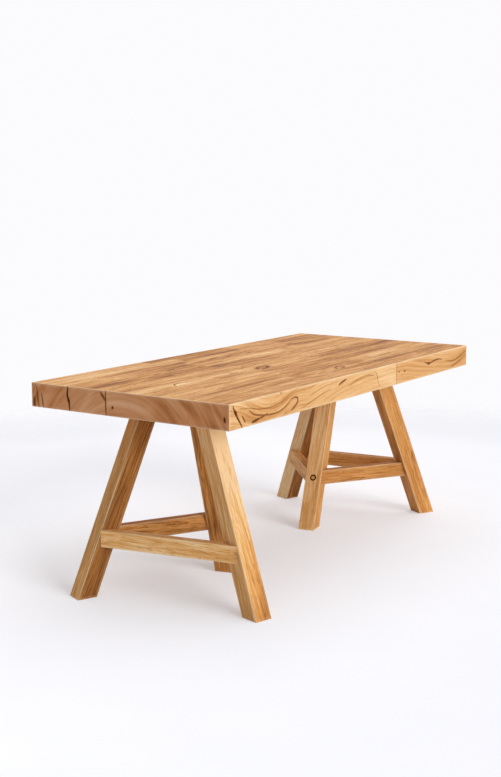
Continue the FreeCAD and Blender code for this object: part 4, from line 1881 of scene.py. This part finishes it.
@dataclass(frozen=True)
class PaperFinish:
    """Matt white studio paper.

    It gives the eye an even, faintly mottled ground that holds soft shadows and has no gloss. It
    fades out towards its rim, so that no horizon shows.

    Attributes:
        name: Name of the material.
        radius: Radius of the sheet.
        white: Plain white that the camera sees mixed in.
        glow: Share of that white.
        shades: Colours of the mottling.
        mottle_size: Size of the mottling's patches.
        mottle_span: Values of its noise that the colours stand at.
        roughness: Roughness of the matt surface.
        fade_from: Share of the radius at which the sheet begins to fade out.
    """

    name: str
    radius: float
    white: str
    glow: float = 0.34
    shades: tuple[str, str] = ("#F7F8FC", "#FAFAFD")
    mottle_size: float = 1 / 3
    mottle_span: tuple[float, float] = (0.3, 0.7)
    roughness: float = 0.6
    fade_from: float = 0.55

    def material(self) -> bpy.types.Material:
        """Make the finish's node material.

        Returns:
            The material.
        """
        made = bpy.data.materials.new(self.name)
        add = clear_nodes(made)
        place = add("TexCoord", out="Object")
        mottle = add("TexNoise", {"Vector": place, "Scale": 1 / self.mottle_size})
        stops = tuple(zip(self.mottle_span, self.shades))
        colour = add("ValToRGB", {"Fac": mottle}, stops=stops)
        paper = add("BsdfDiffuse", {"Color": colour, "Roughness": self.roughness})
        away = add("VectorMath", {0: place}, operation="LENGTH", out="Value")
        fade = add(
            "MapRange",
            {"Value": away, "From Min": self.fade_from * self.radius, "From Max": self.radius},
            interpolation_type="SMOOTHSTEP",
        )
        white = add("Emission", {"Color": linear(self.white)})
        glow = add("Math", {0: shown_rays(add), 1: self.glow}, operation="MULTIPLY")
        lit = add("MixShader", {0: glow, 1: paper, 2: white})
        shader = add("MixShader", {0: fade, 1: lit, 2: add("BsdfTransparent")})
        add("OutputMaterial", {"Surface": shader})
        return made


@dataclass(frozen=True)
class Lamp:
    """A broad parallel light, like a large window or a lit ceiling.

    Attributes:
        name: Its name.
        source: Direction that its light comes from.
        angle: Angle that it fills, in degrees.
        strength: Its light on a surface that faces it, in watts per square metre.
        shade: Its colour.
    """

    name: str
    source: tuple[float, float, float]
    angle: float
    strength: float
    shade: str

    def build(self) -> None:
        """Hang the light."""
        lamp = bpy.data.lights.new(self.name, "SUN")
        lamp.angle = math.radians(self.angle)
        lamp.energy = self.strength
        lamp.color = linear(self.shade)[:3]
        hung = bpy.data.objects.new(self.name, lamp)
        hung.rotation_mode = "QUATERNION"
        hung.rotation_quaternion = (-Vector(self.source)).to_track_quat("-Z", "Y")
        bpy.context.scene.collection.objects.link(hung)


@dataclass
class Studio:
    """A pale paper floor under soft light, with the camera at the photograph's angle.

    Attributes:
        camera_place: Where the camera stands.
        heading: Compass direction of the view, in degrees from +Y towards +X.
        dip: How far the view looks down, in degrees.
        lens: Focal length in millimetres.
        sensor: Long side of the picture in the camera, in millimetres.
        floor_radius: Radius of the floor's disc.
        floor_grid: Number of grid lines across it.
        floor_thickness: Its thickness.
        sky_shade: Colour of the surroundings as the camera sees them.
        fill_shade: Colour of the even light from all round.
        fill: Strength of that light.
        key: The low window light from the long side.
        ceiling: The wide light from above.
    """

    camera_place: tuple[float, float, float] = (-4.012, -2.561, 1.4054)
    heading: float = 56.43
    dip: float = 9.08
    lens: float = 57.25
    sensor: float = 36.0
    floor_radius: float = 4.0
    floor_grid: int = 33
    floor_thickness: float = 2 * MM
    sky_shade: str = "#FCFBFD"
    fill_shade: str = "#F9FBFF"
    fill: float = 0.32
    key: Lamp = Lamp("key_light", (-0.2, -0.95, 0.28), 36.0, 1.95, "#FDFDFF")
    ceiling: Lamp = Lamp("ceiling_light", (0.36, -0.03, 1.0), 70.0, 1.85, "#FDFDFF")

    def build_floor(self) -> bpy.types.Object:
        """Build the floor: a disc from a square grid, as thin as card.

        Returns:
            The floor.
        """
        ring = np.linspace(-1.0, 1.0, self.floor_grid)
        block = Block.from_lines([ring, ring, np.array([-self.floor_thickness, 0.0])])
        u, v, level = block.points.T
        block.points = np.stack([*disc(u, v, self.floor_radius), level], axis=1)
        paper = PaperFinish("paper_matt_white", self.floor_radius, self.sky_shade)
        piece = make_piece("studio_floor", block, paper.material())
        piece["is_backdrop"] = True
        return piece

    def build_world(self) -> None:
        """Make the surroundings: white to the camera and in gloss, a plain even fill as light."""
        world = bpy.data.worlds.new("studio_surround")
        bpy.context.scene.world = world
        add = clear_nodes(world)
        fill, seen = (
            add("Background", {"Color": linear(code), "Strength": strength})
            for code, strength in ((self.fill_shade, self.fill), (self.sky_shade, 1.0))
        )
        mixed = add("MixShader", {0: shown_rays(add), 1: fill, 2: seen})
        add("OutputWorld", {"Surface": mixed})

    def build_camera(self) -> None:
        """Set the camera at the photograph's place and angle."""
        turn, dip = math.radians(self.heading), math.radians(self.dip)
        view = Vector(
            (math.sin(turn) * math.cos(dip), math.cos(turn) * math.cos(dip), -math.sin(dip))
        )
        data = bpy.data.cameras.new("photo_camera")
        data.sensor_width = self.sensor
        data.lens = self.lens
        camera = bpy.data.objects.new("photo_camera", data)
        camera.location = self.camera_place
        camera.rotation_mode = "QUATERNION"
        camera.rotation_quaternion = view.to_track_quat("-Z", "Y")
        bpy.context.scene.collection.objects.link(camera)
        bpy.context.scene.camera = camera

    def build(self) -> Iterator[bpy.types.Object]:
        """Build the floor, the surroundings, the lights and the camera.

        Returns:
            The floor, as the one piece.
        """
        bpy.context.scene.view_settings.view_transform = "Standard"
        yield self.build_floor()
        self.build_world()
        self.key.build()
        self.ceiling.build()
        self.build_camera()


def main() -> None:
    """Build the table top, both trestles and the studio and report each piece."""
    logging.basicConfig(level=logging.INFO, format="%(name)s: %(message)s")
    # Planed, oiled planks: a matt golden slab with soft bands, brown lines and browner ends.
    plank = WoodFinish("oak_plank_planed_oiled").material(GrainSource.BOARD)
    # Planed, oiled legs and stretchers: a warmer gold, with close straight lines in place of bands.
    leg = WoodFinish(
        "oak_leg_planed_oiled",
        shades=("#70441B", "#A2692F", "#C88A49", "#DEA763", "#F2CF9C"),
        patch=Figure(520, 60, 0.35, 1.0),
        streak=Figure(300, 12, 0.4),
        fibre=Figure(150, 5, 0.85, 3.0),
        pore=Figure(42, 3.6, detail=1.0),
        drift=Figure(200, 55),
        wander=9.0,
        band_weight=0.35,
        late_share=0.55,
        pore_share=0.24,
        lift=0.02,
    ).material(GrainSource.BOARD)
    # Sawn, oiled head boards: the planks' oak, left as it grew, painted a little darker as shade under
    # the top.
    head = WoodFinish("oak_board_sawn_oiled_shaded", lift=-0.05).material(GrainSource.PLACE)
    # Turned, bare beech: pale, pinkish and nearly plain, so that fittings stand out from the oak.
    beech = WoodFinish(
        "beech_turned_bare",
        shades=("#B98A62", "#CBA077", "#D8B48C", "#E2C4A0", "#EAD2B2"),
        band_weight=0.3,
        ring_weight=0.2,
    ).material(GrainSource.PLACE)
    seeds = {Stand.NEAR: 3, Stand.FAR: 8}
    trestles = [Trestle(stand, leg, head, beech, seed) for stand, seed in seeds.items()]
    for assembly in (TableTop(plank, beech), *trestles, Studio()):
        for piece in assembly.build():
            finish = piece.material_slots[0].name
            LOG.info("%s: %d faces, %s", piece.name, len(piece.data.polygons), finish)
    sizes = {"cad": CAD_BOX, "visual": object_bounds()}
    {key: [list(corner) for corner in box] for key, box in sizes.items()}


if __name__ == "__main__":
    main()
